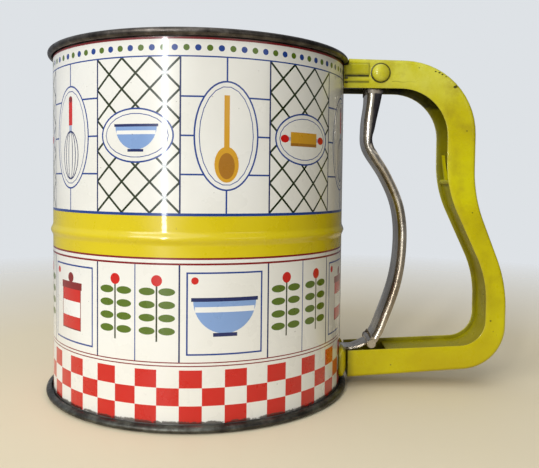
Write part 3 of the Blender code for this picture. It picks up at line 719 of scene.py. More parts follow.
def jar(d):
    d.box(DEEP_RED, -5.1, -7.3, 5.1, 4.0)
    d.box(RED, -4.8, -7.0, 4.8, 4.0)
    d.box(WHITE, -4.8, -3.6, 4.8, 0.6)
    d.box(DEEP_RED, -5.5, 4.0, 5.5, 6.0)
    d.oval(DEEP_RED, (0, 7.2), (1.5, 1.4), 20)


def sprig(d):
    d.line(OLIVE, [(0, -8.0), (0, 8.5)], 0.5)
    for k in range(4):
        for side in (-1, 1):
            d.oval(LEAF, (side * 2.9, 3.7 * k - 5.0), (2.4, 1.1), 20)
    d.oval(RED, (0, 9.2), (1.6, 1.6), 20)


def place(d, motif, u, z, size):
    """A motif drawn at a place and size."""
    drawn = Drawing()
    motif(drawn)
    for colour, loops in drawn.shapes:
        d.area(colour, *(np.array(loop) * size + np.array((u, z)) for loop in loops))


def door(d, motif, left, right, low, high):
    """A framed cupboard door with a motif and a knob."""
    inset, line = 2.4, 0.6
    d.box(BLUE, left + inset, low + inset, right - inset, high - inset)
    d.box(GROUND, left + inset + line, low + inset + line, right - inset - line, high - inset - line)
    place(d, motif, left + PANEL / 2, (low + high) / 2, 1.35)
    d.oval(RED, (left + 5.4, high - 5.4), (1.3, 1.3), 20)


def kitchen_pattern():
    """The print on half of the circumference: regular panels of trellis and tiles with plain
    kitchen tools, a yellow band, framed doors and sprigs, and a check border. The other half
    repeats it."""
    d = Drawing()
    upper_low, upper_high = BAND_HIGH + BAND_EDGE, PRINT_HIGH - TOP_BORDER
    lower_low, lower_high = CHECK_TOP + CHECK_BORDER, BAND_LOW - BAND_BORDER
    upper_middle, lower_middle = (upper_low + upper_high) / 2, (lower_low + lower_high) / 2
    for i in range(PANELS):
        left = i * PANEL - HALF_TURN / 2
        right, middle = left + PANEL, left + PANEL / 2
        if i % 2:
            tiles(d, left, right, upper_low, upper_high)
            plaque(d, middle, upper_middle, 11.0, 18.5)
            place(d, (whisk, spoon, whisk)[i // 2], middle, upper_middle - 1.5, 1.2)
            door(d, (jar, bowl, jar)[i // 2], left, right, lower_low, lower_high)
        else:
            trellis(d, left, right, upper_low, upper_high)
            plaque(d, middle, upper_middle, 13.4, 9.0)
            place(d, (rolling_pin, bowl, rolling_pin)[i // 2], middle, upper_middle, 0.95)
            for side in (-1, 1):
                place(d, sprig, middle + side * PANEL / 4, lower_middle, 1.25)
            upright(d, BLUE, middle, lower_low, lower_high, 0.2)
        for u in (left, right):
            upright(d, NAVY, u, upper_low, upper_high)
            upright(d, NAVY, u, lower_low, lower_high)
    checks(d)
    band(d)
    top_border(d)
    return d


# ---------------------------------------------------------------- can

def wall_radius(z):
    """The wall's outer radius at a height in metres, with the bead."""
    rise = (z - BEAD_HEIGHT) / BEAD_HALF
    return WALL + (BEAD_PROUD * (1 + math.cos(math.pi * rise)) / 2 if abs(rise) < 1 else 0)


def cut_slot(wall):
    """Cuts the drive link's slot through the wall."""
    mesh = bpy.data.meshes.new("slot_cutter")
    shape = bmesh.new()
    bmesh.ops.create_cube(shape, size=1)
    shape.to_mesh(mesh)
    shape.free()
    cutter = bpy.data.objects.new("slot_cutter", mesh)
    cutter.scale = (0.004, 2 * SLOT_HALF_WIDE, 2 * SLOT_HALF_TALL)
    cutter.location = (WALL + AXIS_X, 0, SLOT_Z)
    bpy.context.scene.collection.objects.link(cutter)
    step = wall.modifiers.new("slot", "BOOLEAN")
    step.operation = "DIFFERENCE"
    step.object = cutter
    step.solver = "EXACT"
    bpy.context.view_layer.update()
    cut = bpy.data.meshes.new_from_object(wall.evaluated_get(bpy.context.evaluated_depsgraph_get()))
    wall.modifiers.clear()
    wall.data = cut
    bpy.data.objects.remove(cutter, do_unlink=True)


def can_wall():
    """The sheet itself: beaded wall with its upper edge curled outwards, bare inside."""
    middle = WALL - SHEET / 2
    line = [Vector((middle, z)) for z in (0.0014, 0.02, 0.045)]
    for i in range(13):
        z = BEAD_HEIGHT + BEAD_HALF * (i / 6 - 1)
        line.append(Vector((wall_radius(z) - SHEET / 2, z)))
    line += [Vector((middle, z)) for z in (0.09, 0.115)]
    centre = (middle + CURL_X, HEIGHT - SHEET / 2 - CURL_Z)
    line += arc(centre, (CURL_X, CURL_Z), 180, -100, 24)
    points, faces = turned(offset_path(line, -SHEET / 2)[::-1] + offset_path(line, SHEET / 2))
    replaced = ["can_body", "rim_wire"]
    cut_slot(make("can_wall", points, faces, "can", SHEET_STEEL, replaced))


def print_patch(name, flat, chosen, colours, half, slotted):
    """One patch of the print, with an ink for each triangle and the wall's own normals."""
    used, index = np.unique(chosen, return_inverse=True)
    corners = index.reshape(-1, 3)
    turn = flat[used, 0] / 1000 / WALL + half * math.pi
    z = flat[used, 1] / 1000
    radius = np.array([wall_radius(value) for value in z]) + PRINT_LIFT
    points = np.stack([radius * np.sin(turn), -radius * np.cos(turn), z], axis=1)
    if slotted:
        aside = np.abs(np.degrees(turn)[corners].mean(axis=1) - 90) * math.radians(1) * WALL
        above = np.abs(z[corners].mean(axis=1) - SLOT_Z)
        keep = (aside >= SLOT_HALF_WIDE) | (above >= SLOT_HALF_TALL)
        corners, colours = corners[keep], colours[keep]
    triangles = [tuple(t) for t in corners.tolist()]
    patch = make(name, points, triangles, "can", PRINT, sharp=180)
    ink = patch.data.attributes.new("ink", "FLOAT_COLOR", "FACE")
    ink.data.foreach_set("color", colours.ravel())
    slope = np.array([wall_radius(v + 1e-5) - wall_radius(v - 1e-5) for v in z]) / 2e-5
    normals = np.stack([np.sin(turn), -np.cos(turn), -slope], axis=1)
    normals /= np.linalg.norm(normals, axis=1)[:, None]
    patch.data.normals_split_custom_set_from_vertices(normals.tolist())


def can_print():
    """The printed surface, wrapped just outside the wall in patches."""
    columns, sectors, bead_middle, bead_half = 61, 4, 68, 2.6
    grid_u = [-HALF_TURN / 2 + HALF_TURN * i / (columns - 1) for i in range(columns)]
    bead = [bead_middle + bead_half * (i / 5 - 1) for i in range(11)]
    grid_z = sorted({PRINT_LOW, *range(12, 60, 12), *bead, *range(80, 130, 12), PRINT_HIGH})
    flat, faces, colours = kitchen_pattern().triangles(grid_u, grid_z, GROUND)
    colours = np.array(colours, np.float32)
    middle = flat[faces].mean(axis=1)
    for half in range(2):
        for sector in range(sectors):
            low_u = -HALF_TURN / 2 + HALF_TURN * sector / sectors
            high_u = low_u + HALF_TURN / sectors
            near = (middle[:, 0] >= low_u) & (middle[:, 0] < high_u)
            for level, upper in (("lower", False), ("upper", True)):
                mine = near & ((middle[:, 1] > bead_middle) == upper)
                name = f"print_{half * sectors + sector}_{level}"
                print_patch(name, flat, faces[mine], colours[mine], half, not upper)


def base_ring():
    """The rolled steel ring at the foot, open at its top where the wall goes in."""
    centre = (0.06185, 0.00145)
    line = arc(centre, (0.0025, 0.0012), 75, -225, 30)
    profile = offset_path(line, SHEET / 2) + offset_path(line, -SHEET / 2)[::-1]
    lowest = min(p.y for p in profile)
    profile = [Vector((p.x, p.y - lowest)) for p in profile]
    points, faces = turned(profile)
    make("foot_ring", points, faces, "can", DARK, ["base_ring"])


def side_seam():
    """The lock seam down the wall behind the handle."""
    points, faces = [], []
    rows, low, step, gap = 100, 0.0205, 0.0011, 0.00004
    shape = [(-0.0017, 0.0), (-0.0015, 0.0004), (0.0010, 0.0004), (0.0013, 0.0)]
    count = len(shape)
    for i in range(rows):
        z = low + step * i
        points += [(math.sqrt(wall_radius(z) ** 2 - y * y) + out + gap, y, z) for y, out in shape]
    for i in range(rows - 1):
        for a in range(i * count, i * count + count - 1):
            faces.append((a, a + 1, a + 1 + count, a + count))
    make("side_seam", points, faces, "can", TIN)


def unbroken(steps, clear):
    """The steps along a wire, in runs that break off where it isn't clear of the hole."""
    runs = [[]]
    for k in steps:
        if clear(k):
            runs[-1].append(k)
        else:
            runs.append([])
    return [run for run in runs if len(run) > 1]


def screen(level):
    """A woven disc with a hole: wires each way that pass over and under each other."""
    low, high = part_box(level + "_screen")
    z = (low.z + high.z) / 2
    radius = (high.y - low.y) / 2
    pitch, thick, sides, hole = 0.0018, 0.00022, 5, 0.0031
    points, faces = [], []
    count = int(radius / pitch)
    for direction in range(2):
        for i in range(-count, count + 1):
            across = i * pitch
            reach = math.sqrt(max(radius ** 2 - across ** 2, 0))
            steps = [k for k in range(-count - 1, count + 2) if abs(k * pitch) <= reach]
            for run in unbroken(steps, lambda k: math.hypot(k * pitch, across) >= hole):
                start = len(points)
                for k in run:
                    over = 1 if (k + i + direction) % 2 else -1
                    for s in range(sides):
                        turn = 2 * math.pi * s / sides
                        side = across + thick * math.cos(turn)
                        lift = z + over * thick * 0.75 + thick * math.sin(turn)
                        points.append((k * pitch, side, lift) if direction else (side, k * pitch, lift))
                made = []
                for a in range(start, start + (len(run) - 1) * sides, sides):
                    b = a + sides
                    made += [(a + s, b + s, b + (s + 1) % sides, a + (s + 1) % sides) for s in range(sides)]
                made.append(tuple(range(start, start + sides)))
                made.append(tuple(range(len(points) - 1, len(points) - sides - 1, -1)))
                faces += [face[::-1] for face in made] if direction else made
    replaced = [level + "_screen"]
    make(level + "_woven_screen", points, faces, "can", WIRE, replaced, sharp=180)


# ---------------------------------------------------------------- handle and trigger

OUTER_EDGE = rounded_path(
    [
        (0.0590, 0.1406, 0),
        (0.1174, 0.1392, 0.0310),
        (0.1174, 0.0830, 0.0600),
        (0.1319, 0.0460, 0.0600),
        (0.1319, 0.0102, 0.0190),
        (0.0590, 0.0041, 0),
    ],
    14,
)
INNER_EDGE = rounded_path(
    [
        (0.0590, 0.1281, 0),
        (0.1052, 0.1279, 0.0200),
        (0.1054, 0.0860, 0.0500),
        (0.1231, 0.0480, 0.0450),
        (0.1231, 0.0197, 0.0110),
        (0.0590, 0.0160, 0),
    ],
    14,
)


def handle():
    """The channel handle, trimmed to the can's rim and wall at one end and a curve at the other."""
    web, edge = evened(OUTER_EDGE, INNER_EDGE, 0.0030)
    stations = (0.09, 0.11, 0.13, 0.15, 0.17, 0.2, 0.4, 0.6, 0.8)
    sections, outside = channel(web, edge, HANDLE_HALF, HANDLE_SHEET, 0.0016, stations)
    rim_reach, rim_low = WALL + 2 * CURL_X + 0.0003, HEIGHT - 0.0031
    for i, section in enumerate(sections):
        upper = i < len(sections) / 2
        for k, (x, y, z) in enumerate(section):
            reach = (rim_reach if z > rim_low else WALL + 0.0004) if upper else 0.0655
            section[k] = (max(x, math.sqrt(reach ** 2 - y * y)), y, z)
    points, faces = lofted(sections)
    made = make("handle_channel", points, faces, "can", YELLOW, ["handle_shell"])
    # Painted shade: the channel's inner faces are darkened, fully on the upper arm and less below, and the
    # lower arm's end is darkened where it meets the can.
    wear_and_painted_light = []
    for i, section in enumerate(sections):
        for k, (x, y, z) in enumerate(section):
            inner = 1.0 if z > 0.122 else 0.62
            end = clamp((0.0664 - x) / 0.0012) * (0.55 if z < 0.05 else 0.0)
            wear_and_painted_light.append(max(inner if k >= outside + 2 and k < len(section) - 2 else 0.0, end))
    set_wear_and_painted_light(made, wear_and_painted_light)


def relief(side):
    """Points, faces and painted shade of the pressed relief on a flange behind the rivet: a raised field
    over a groove and a rib, with painted shade in the grooves and slots and along the field's edge."""
    left, right, low, high = 0.0614, 0.0722, 0.1300, 0.1386
    corner_left, corner_low, field_low, slots_right = 0.0635, 0.1374, 0.1334, 0.0628
    columns, rows = 40, 56
    raised = ((0.1338, 0.1382, 0.00034), (0.1309, 0.1326, 0.00022))
    grooves = ((0.1332, 0.0007, 1.0), (0.1306, 0.0005, 0.75), (0.1384, 0.0005, 0.4))
    points, wear_and_painted_light = [], []
    for i in range(columns + 1):
        for k in range(rows + 1):
            z = low + (high - low) * k / rows
            start = left if z < corner_low else corner_left
            x = start + (right - start) * i / columns
            fade = clamp((right - x) / 0.0008) * clamp((x - start + 0.0002) / 0.0004)
            rise = max(clamp(min(z - foot, top - z) / 0.0005) * proud for foot, top, proud in raised)
            points.append((x, side * (HANDLE_HALF + 0.00002 + rise * fade), z))
            # Painted shade in the grooves, along the field's right edge and in the slots, and a light
            # darkening over the field.
            painted_shade = max(deep * clamp(1.3 - abs(z - at) / wide) for at, wide, deep in grooves)
            edge = 0.7 * max(0, 1 - abs(right - 0.0005 - x) / 0.0004) * (z > field_low)
            field = 0.2 if z > field_low and right - x > 0.0006 else 0.0
            slots = 1.0 if x < slots_right and min(abs(z - 0.1322), abs(z - 0.1304)) < 0.0005 else 0.0
            wear_and_painted_light.append(max(painted_shade * (x < right - 0.0004), edge, field, slots))
    return points, quads(columns, rows, side > 0), wear_and_painted_light


def crease(side):
    """Points, faces and painted shade of the faint crease on a flange beyond the rivet."""
    steps, dark = 30, 0.55
    section = ((-0.00022, 0.00001, 0.0), (-0.00005, 0.00005, dark))
    section += ((0.00008, 0.00005, dark), (0.00026, 0.00001, 0.0))
    points, wear_and_painted_light = [], []
    for i in range(steps + 1):
        x = 0.0814 + 0.0105 * i / steps
        middle = 0.1308 + 0.0002 * math.sin(i * 0.35)
        points += [(x, side * (HANDLE_HALF + proud), middle + up) for up, proud, _ in section]
        # Painted shade in the crease's hollow, fading along it.
        wear_and_painted_light += [painted_shade * (1 - i / 32) for _, _, painted_shade in section]
    return points, quads(steps, len(section) - 1, side > 0), wear_and_painted_light


def pressed_panels():
    """The pressed marks on both flanges of the handle's upper end."""
    marks = [shape(side) for side in (-1, 1) for shape in (relief, crease)]
    points, faces = together(*((points, faces) for points, faces, _ in marks))
    made = make("pressed_panels", points, faces, "can", YELLOW)
    # The relief's and crease's painted shade goes onto the pieces.
    set_wear_and_painted_light(made, [painted_shade for _, _, wear_and_painted_light in marks for painted_shade in wear_and_painted_light])


def chips():
    """Spots where the handle's enamel has chipped to dark steel."""
    random.seed(4)
    corners = 11
    spots = [(0.1082, 0.1290, 0.00075), (0.0997, 0.1352, 0.0003), (0.1012, 0.1347, 0.00035)]
    spots += [(0.1025, 0.1340, 0.0003), (0.1040, 0.1331, 0.00025), (0.1133, 0.1105, 0.0003)]
    spots += [(0.1164, 0.0760, 0.00025), (0.1252, 0.0300, 0.0003)]
    shapes = []
    for side in (-1, 1):
        for x, z, size in spots:
            points = [(x, side * (HANDLE_HALF + 0.00004), z)]
            for i in range(corners):
                turn, reach = 2 * math.pi * i / corners, size * random.uniform(0.6, 1.25)
                along, up = x + 1.3 * reach * math.cos(turn), z + reach * math.sin(turn)
                points.append((along, side * (HANDLE_HALF + 0.00002), up))
            faces = [(0, i + 1, (i + 1) % corners + 1) for i in range(corners)]
            shapes.append((points, faces if side < 0 else [face[::-1] for face in faces]))
    points, faces = together(*shapes)
    made = make("enamel_chips", points, faces, "can", YELLOW)
    set_wear_and_painted_light(made, [1.0] * len(points))


def closing_strip():
    """The plate that closes the channel below the grip's middle, with its cross bead and tongue."""
    top_z, end_x = 0.089, 0.082
    recessed = offset_path(INNER_EDGE, 0.0015)
    strip = [p for p in recessed if p.x > end_x and p.y < top_z]
    top = Vector((strip[0].x - 0.0004, top_z))
    share = (strip[-1].x - end_x) / (strip[-1].x - recessed[-1].x)
    path = [top, *strip, strip[-1].lerp(recessed[-1], share)]
    path, _ = evened(path, path, 0.003)
    half = HANDLE_HALF - HANDLE_SHEET - 0.0003
    plain = lofted(ribbon(path, half, HANDLE_SHEET))
    bead = []
    for i in range(9):
        y, size = -half + 2 * half * i / 8, 0.0011 if 0 < i < 8 else 0.0007
        bead.append([(p.x, y, p.y) for p in arc((top.x + 0.0001, top_z), size, 0, 330, 11)])
    tongue = []
    for shift, z, wide in ((-0.0014, 0.1005, 0.0012), (-0.0008, 0.0955, 0.0020), (0.0001, 0.0892, 0.0032)):
        p = Vector((top.x + shift, z))
        section = ((0.0004, -1), (-0.0004, -0.5), (-0.0006, 0), (-0.0004, 0.5), (0.0004, 1))
        tongue.append([(p.x + out, wide * across, p.y) for out, across in section])
    points, faces = together(plain, lofted(bead), lofted(tongue))
    made = make("closing_strip", points, faces, "can", DUSTY, ["handle_strip"])
    raised = len(plain[0])
    # Painted shade: the recessed strip is darkened all over, most just under its cross bead, and the bead
    # and tongue a little.
    wear_and_painted_light = [max(0.34, 0.95 * (1 - min(abs(z - 0.0875) / 0.0014, 1))) for _, _, z in points[:raised]]
    set_wear_and_painted_light(made, wear_and_painted_light + [0.2] * (len(points) - raised))


def rivet():
    """The domed rivet heads, each in a dark ring of painted shade."""
    profile = [(0.0, 0.0122)]
    profile += [tuple(p) for p in arc((0, HANDLE_HALF + 0.0003), (0.0037, 0.0019), 86, 8, 10)]
    edge = len(profile)
    # Painted shade round the foot of each head.
    shades = {edge - 1: 0.8, edge: 1.0, edge + 1: 1.0, edge + 2: 0.25}
    profile += [(0.00385, HANDLE_HALF + 0.00015), (0.0041, HANDLE_HALF + 0.0001)]
    profile += [(0.0043, HANDLE_HALF + 0.0001), (0.0044, HANDLE_HALF + 0.00003)]
    shapes, wear_and_painted_light = [], []
    for side in (-1, 1):
        points, faces = turned(profile, 48, closed=False)
        points = [(PIVOT.x + x, side * z, PIVOT.y + y) for x, y, z in points]
        shapes.append((points, faces if side > 0 else [face[::-1] for face in faces]))
        wear_and_painted_light += [shades.get(i % len(profile), 0.0) for i in range(len(points))]
    points, faces = together(*shapes)
    made = make("rivet_heads", points, faces, "can", YELLOW, ["pivot_rivet"], sharp=60)
    set_wear_and_painted_light(made, wear_and_painted_light)


def saddle():
    """The curved plate on the can under the handle's lower end, with rounded corners."""
    low, high, spread, corner = 5.1, 18.5, 14.6, 5.2
    notch_half, notch_low = 6.9, 13.2
    outline = arc((spread - corner, high - corner), corner, 90, 0, 8)
    outline += arc((spread - corner, low + corner), corner, 0, -90, 8)
    outline += [Vector((-p.x, p.y)) for p in outline[::-1]]
    d = Drawing()
    d.area(GROUND, outline)
    d.area(
        None,
        [(-notch_half, notch_low), (notch_half, notch_low), (notch_half, high + 1), (-notch_half, high + 1)],
    )
    grid_u = [-spread + spread * 2 * i / 32 for i in range(33)]
    grid_z = [low, 6.0, 7.0, 8.0, 9.5, 11.0, notch_low, 15.0, 16.0, 17.2, high]
    flat, faces, _ = d.triangles(grid_u, grid_z, None)
    inner, outer = WALL + 0.00035, WALL + 0.0030
    points, wear_and_painted_light = [], []
    for radius in (outer, inner):
        for u, z in flat:
            turn = u / 1000 / outer
            edge = min(spread - abs(u), z - low, high - z)
            domed = radius - (0.0021 * max(0, 1 - edge / 4.0) ** 2 if radius == outer else 0)
            points.append((domed * math.cos(turn), domed * math.sin(turn), z / 1000))
            # The plate darkens within 0.8 mm of its rim.
            wear_and_painted_light.append(0.55 * max(0, 1 - edge / 0.8))
    faces = thickened([tuple(t) for t in faces.tolist()], len(flat))
    made = make("foot_saddle_plate", points, faces, "can", YELLOW, ["foot_saddle"])
    set_wear_and_painted_light(made, wear_and_painted_light)


def slab(d, low, high, plane="XY"):
    """Points and faces of a flat plate with a drawing's areas as its outline, in millimetres."""
    every = np.concatenate([loop for _, loops in d.shapes for loop in loops])
    (left, near), (right, far) = every.min(axis=0) - 1, every.max(axis=0) + 1
    flat, faces, _ = d.triangles([left, right], [near, far], None)
    used, index = np.unique(faces, return_inverse=True)
    if plane == "XY":
        points = [(u / 1000, v / 1000, level) for level in (high, low) for u, v in flat[used]]
    else:
        points = [(u / 1000, level, v / 1000) for level in (low, high) for u, v in flat[used]]
    return points, thickened([tuple(t) for t in index.reshape(-1, 3).tolist()], len(used))


def trigger():
    """The squeeze lever: a channel whose flanges widen into folded ears at the rivet and end in
    lobes round the foot pin."""
    front = [(0.0716, 0.1262), (0.0714, 0.1220), (0.0703, 0.1120), (0.0712, 0.1025), (0.0788, 0.0905)]
    front += [(0.0842, 0.0780), (0.0858, 0.0635), (0.0838, 0.0460), (0.0775, 0.0270), (0.0752, 0.0219)]
    back = [(0.0780, 0.1262), (0.0772, 0.1220), (0.0751, 0.1120), (0.0744, 0.1046), (0.0818, 0.0922)]
    back += [(0.0876, 0.0788), (0.0893, 0.0636), (0.0872, 0.0450), (0.0806, 0.0258), (0.0779, 0.0206)]
    web, edge = smooth_path(front, 8), smooth_path(back, 8)
    shapes = [lofted(channel(web, edge, TRIGGER_HALF, HANDLE_SHEET, 0.0022, (0.02, 0.3, 0.6))[0])]
    ear = 0.0052
    left = (web[0], *arc(PIVOT, ear, 180, 118, 8))
    right = (*arc(PIVOT, ear, 118, 0, 14), Vector((0.0792, 0.1290)), edge[0])
    fold = [(74.0, 126.2), (74.2, 139.0)]
    ears, lobe = Drawing(), Drawing()
    ears.area(GROUND, [*((p.x * 1000, p.y * 1000) for p in left), *fold[::-1]])
    ears.area(GROUND, [*((p.x * 1000, p.y * 1000) for p in right), *fold])
    lobe.area(GROUND, [p * 1000 for p in (edge[-1], *arc(FOOT_PIN, 0.0019, 10, -200, 16), web[-1])])
    for near in (-TRIGGER_HALF, TRIGGER_HALF - HANDLE_SHEET):
        for drawing in (ears, lobe):
            shapes.append(slab(drawing, near, near + HANDLE_SHEET, "XZ"))
    points, faces = together(*shapes)

    def past_fold(x, z):
        """How far a point lies behind the ear's fold."""
        return x - (0.0722 + 0.0018 * clamp((z - 0.104) / 0.022))

    def folded(x, y, z):
        """Bends the part of each ear behind the fold slightly inwards."""
        if z < 0.1030 or abs(y) < TRIGGER_HALF - 1.2 * HANDLE_SHEET:
            return (x, y, z)
        return (x, y - math.copysign(0.35 * max(past_fold(x, z), 0), y), z)

    def painted_reflection(x, y, z):
        """How dark the painted reflection makes a point: only the ears are darkened, behind the fold."""
        return clamp(past_fold(x, z) / 0.0008, 0, 0.9) if z > 0.1050 and abs(y) > 0.0066 else 0

    bent = [folded(*p) for p in points]
    made = make("trigger_lever", bent, faces, "trigger", BRIGHT, ["trigger"])
    # Painted reflection: a dark band on the ears behind the fold.
    set_wear_and_painted_light(made, [painted_reflection(*p) for p in points])
    made.modifiers.new("normals", "WEIGHTED_NORMAL").keep_sharp = True


def wire(line, radius, sides=8):
    """Points and faces of a round wire along a line."""
    sections = []
    line = [Vector(p) for p in line]
    side = None
    for i, p in enumerate(line):
        along = (line[min(i + 1, len(line) - 1)] - line[max(i - 1, 0)]).normalized()
        side = along.orthogonal() if side is None else side - along * side.dot(along)
        side.normalize()
        up = along.cross(side)
        turns = [2 * math.pi * k / sides for k in range(sides)]
        sections.append([tuple(p + (side * math.cos(a) + up * math.sin(a)) * radius) for a in turns])
    return lofted(sections)


def spring():
    """The torsion spring round the pivot: the coil stays with the handle, and the leg behind
    the trigger's web turns with the trigger."""
    radius, thick, turns, pitch, steps = 0.0036, 0.0005, 4, 0.0013, 24
    half = turns * pitch / 2

    def coil(i):
        turn = math.radians(90) + 2 * math.pi * i / steps
        x, z = PIVOT.x + radius * math.cos(turn), PIVOT.y + radius * math.sin(turn)
        return (x, -half + pitch * i / steps, z)

    last = turns * steps + steps // 4
    fixed = [(0.0900, -half, 0.1380), *(coil(i) for i in range(last - 2))]
    points, faces = wire(fixed, thick)
    make("spring_coil", points, faces, "can", DARK, ["return_spring"])
    x, y, _ = coil(last)
    leg = [*(coil(i) for i in range(last - 5, last + 1)), (x, y, 0.1250), (x - 0.0002, y, 0.1165)]
    points, faces = wire(leg, thick)
    make("spring_leg", points, faces, "trigger", DARK)


def drive_link():
    """The strip from the foot pin, through the can's slot, to a cross slot round the crank pin."""
    crank = 0.016 * Vector((math.cos(math.radians(-125)), math.sin(math.radians(-125)))) * 1000
    deepest, nearest, head, border = -17.5, crank.y + 1.5, 4.7, 3.0
    outline = [(65.5, 4.0), (20.0, 4.0), (12.0, nearest + border), (crank.x - head, nearest + border)]
    outline += [(crank.x - head, deepest - border), (14.0, deepest - border), (28.0, -4.0), (65.5, -4.0)]
    left, right = crank.x - 1.7, crank.x + 1.7
    plan = Drawing()
    plan.area(GROUND, outline, [(left, nearest), (right, nearest), (right, deepest), (left, deepest)])
    line = [(0.0653, 0.0159), (0.0664, 0.0159), (0.0675, 0.0161), (0.0700, 0.0170)]
    line += [(0.0722, 0.0180), (0.0738, 0.0187)]
    slope = []
    for p in smooth_path(line, 4):
        half = 0.0040 + 0.0014 * clamp((p.x - 0.0655) / 0.007)
        corners = ((-1, -half), (-1, half), (1, half), (1, -half))
        slope.append([(p.x + a * 0.0002, y, p.y + a * 0.0005) for a, y in corners])
    around, knuckle_half = 24, 0.0070
    points, faces = [], []
    for i in range(around):
        turn = 2 * math.pi * i / around
        for radius, side in ((1.2, -1), (1.75, -1), (1.75, 1), (1.2, 1)):
            along, up = radius / 1000 * math.cos(turn), radius / 1000 * math.sin(turn)
            points.append((FOOT_PIN.x + along, side * knuckle_half, FOOT_PIN.y + up))
        here, on = 4 * i, 4 * ((i + 1) % around)
        faces += [(here + k, on + k, on + (k + 1) % 4, here + (k + 1) % 4) for k in range(4)]
    points, faces = together(slab(plan, 0.0154, 0.0164), lofted(slope), (points, faces))
    make("link_strip", points, faces, "drive_link", BRIGHT, ["drive_link"])


# ---------------------------------------------------------------- put it together

can_wall()
can_print()
base_ring()
side_seam()
for name in ("top", "middle", "bottom"):
    screen(name)
handle()
pressed_panels()
chips()
closing_strip()
rivet()
saddle()
trigger()
spring()
drive_link()

CARRIED = {"pivot_bush": DARK, "foot_pin": BRIGHT}
for name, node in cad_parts.items():
    if node.hide_render:
        continue
    look = CARRIED.get(name, TIN)
    if node.data.materials:
        for i in range(len(node.data.materials)):
            node.data.materials[i] = look
    else:
        node.data.materials.append(look)


# ---------------------------------------------------------------- floor, light and camera

def floor():
    """The worktop that the sifter stands on."""
    size, steps = 0.55, 12
    marks = [-size + 2 * size * i / steps for i in range(steps + 1)]
    mesh = bpy.data.meshes.new("floor")
    mesh.from_pydata([(x, y, 0) for x in marks for y in marks], [], quads(steps, steps))
    mesh.materials.append(pale_floor())
    obj = bpy.data.objects.new("floor", mesh)
    obj.location.z = cad_low.z
    bpy.context.scene.collection.objects.link(obj)


def soft_box(name, at, towards, size, power, colour=(1, 1, 1)):
    """A rectangular light, aimed at a point."""
    light = bpy.data.lights.new(name, "AREA")
    light.shape = "RECTANGLE"
    light.size, light.size_y = size
    light.energy = power
    light.color = colour
    obj = bpy.data.objects.new(name, light)
    obj.location = at
    obj.rotation_euler = (Vector(towards) - Vector(at)).to_track_quat("-Z", "Y").to_euler()
    obj.visible_camera = False
    bpy.context.scene.collection.objects.link(obj)


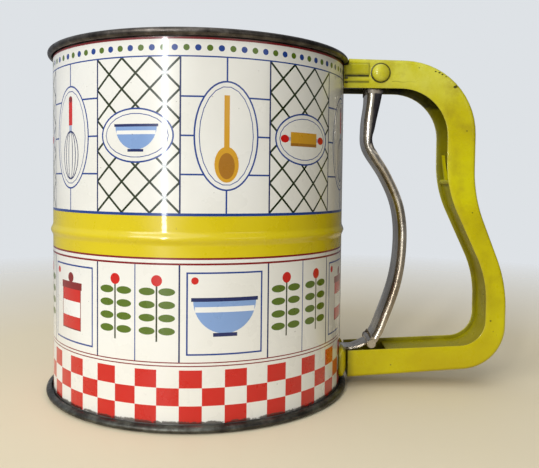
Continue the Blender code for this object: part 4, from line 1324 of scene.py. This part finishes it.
def studio():
    """A pale backdrop for the camera, a softer uneven room for reflections, a sun and four soft
    boxes."""
    world = bpy.data.worlds.new("studio")
    world.use_nodes = True
    bpy.context.scene.world = world
    tree = world.node_tree
    tree.nodes.clear()

    def node(kind, **inputs):
        made = tree.nodes.new(kind)
        for key, value in inputs.items():
            made.inputs[key.replace("_", " ")].default_value = value
        return made

    seen = node("ShaderNodeBackground", Color=linear(222, 226, 230), Strength=1.0)
    room = node("ShaderNodeBackground", Color=linear(226, 232, 242))
    split = tree.nodes.new("ShaderNodeSeparateXYZ")
    tree.links.new(tree.nodes.new("ShaderNodeTexCoord").outputs["Generated"], split.inputs[0])
    sideways = node("ShaderNodeMapRange", From_Min=-0.7, From_Max=0.8, To_Min=0.78, To_Max=0.18)
    upward = node("ShaderNodeMapRange", From_Min=-0.1, From_Max=0.7, To_Min=0.45, To_Max=1.0)
    tree.links.new(split.outputs["X"], sideways.inputs[0])
    tree.links.new(split.outputs["Z"], upward.inputs[0])
    strength = tree.nodes.new("ShaderNodeMath")
    strength.operation = "MULTIPLY"
    tree.links.new(sideways.outputs[0], strength.inputs[0])
    tree.links.new(upward.outputs[0], strength.inputs[1])
    tree.links.new(strength.outputs[0], room.inputs["Strength"])
    mixed = tree.nodes.new("ShaderNodeMixShader")
    tree.links.new(tree.nodes.new("ShaderNodeLightPath").outputs["Is Camera Ray"], mixed.inputs[0])
    tree.links.new(room.outputs[0], mixed.inputs[1])
    tree.links.new(seen.outputs[0], mixed.inputs[2])
    tree.links.new(mixed.outputs[0], tree.nodes.new("ShaderNodeOutputWorld").inputs[0])

    sun = bpy.data.objects.new("daylight", bpy.data.lights.new("daylight", "SUN"))
    sun.data.energy, sun.data.angle = 0.75, math.radians(50)
    sun.rotation_euler = (math.radians(38), 0, math.radians(-25))
    bpy.context.scene.collection.objects.link(sun)
    soft_box("key", (-0.62, -0.85, 0.62), (0, 0, 0.06), (0.5, 0.5), 3.6, (1.0, 0.99, 0.97))
    soft_box("window", (-0.36, -0.95, 0.29), (0, 0, 0.08), (0.06, 0.62), 4.8, (0.94, 0.97, 1.0))
    soft_box("fill", (0.75, -0.95, 0.45), (0, 0, 0.07), (0.7, 0.5), 1.2, (1.0, 0.97, 0.92))
    soft_box("top", (0.0, 0.15, 0.95), (0, 0, 0.05), (0.9, 0.9), 1.3)


def camera():
    """A camera at the photograph's viewing angle, in the can's coordinates."""
    azimuth, distance, height = math.radians(6.653), 0.2876, 0.0886
    yaw, pitch, roll = math.radians(5.953), math.radians(2.407), math.radians(0.635)
    place = Vector((distance * math.sin(azimuth), -distance * math.cos(azimuth), height))
    heading = azimuth - yaw
    ahead = Vector((-math.sin(heading), math.cos(heading), 0))
    right = Vector((ahead.y, -ahead.x, 0))
    forward = ahead * math.cos(pitch) - Vector((0, 0, 1)) * math.sin(pitch)
    up = Vector((0, 0, 1)) * math.cos(pitch) + ahead * math.sin(pitch)
    tilted_right = right * math.cos(roll) + up * math.sin(roll)
    tilted_up = up * math.cos(roll) - right * math.sin(roll)
    data = bpy.data.cameras.new("camera")
    data.sensor_width = 36
    data.lens = 43.38
    data.shift_x, data.shift_y = 0.0024, -0.0481
    data.clip_start, data.clip_end = 0.01, 50
    obj = bpy.data.objects.new("camera", data)
    turn = [list(row) for row in zip(tilted_right, tilted_up, -forward)]
    obj.rotation_mode = "QUATERNION"
    obj.rotation_quaternion = Matrix(turn).to_quaternion()
    obj.location = place + Vector((AXIS_X, 0, 0))
    bpy.context.scene.collection.objects.link(obj)
    bpy.context.scene.camera = obj


floor()
studio()
camera()
bpy.context.scene.view_settings.view_transform = "Standard"
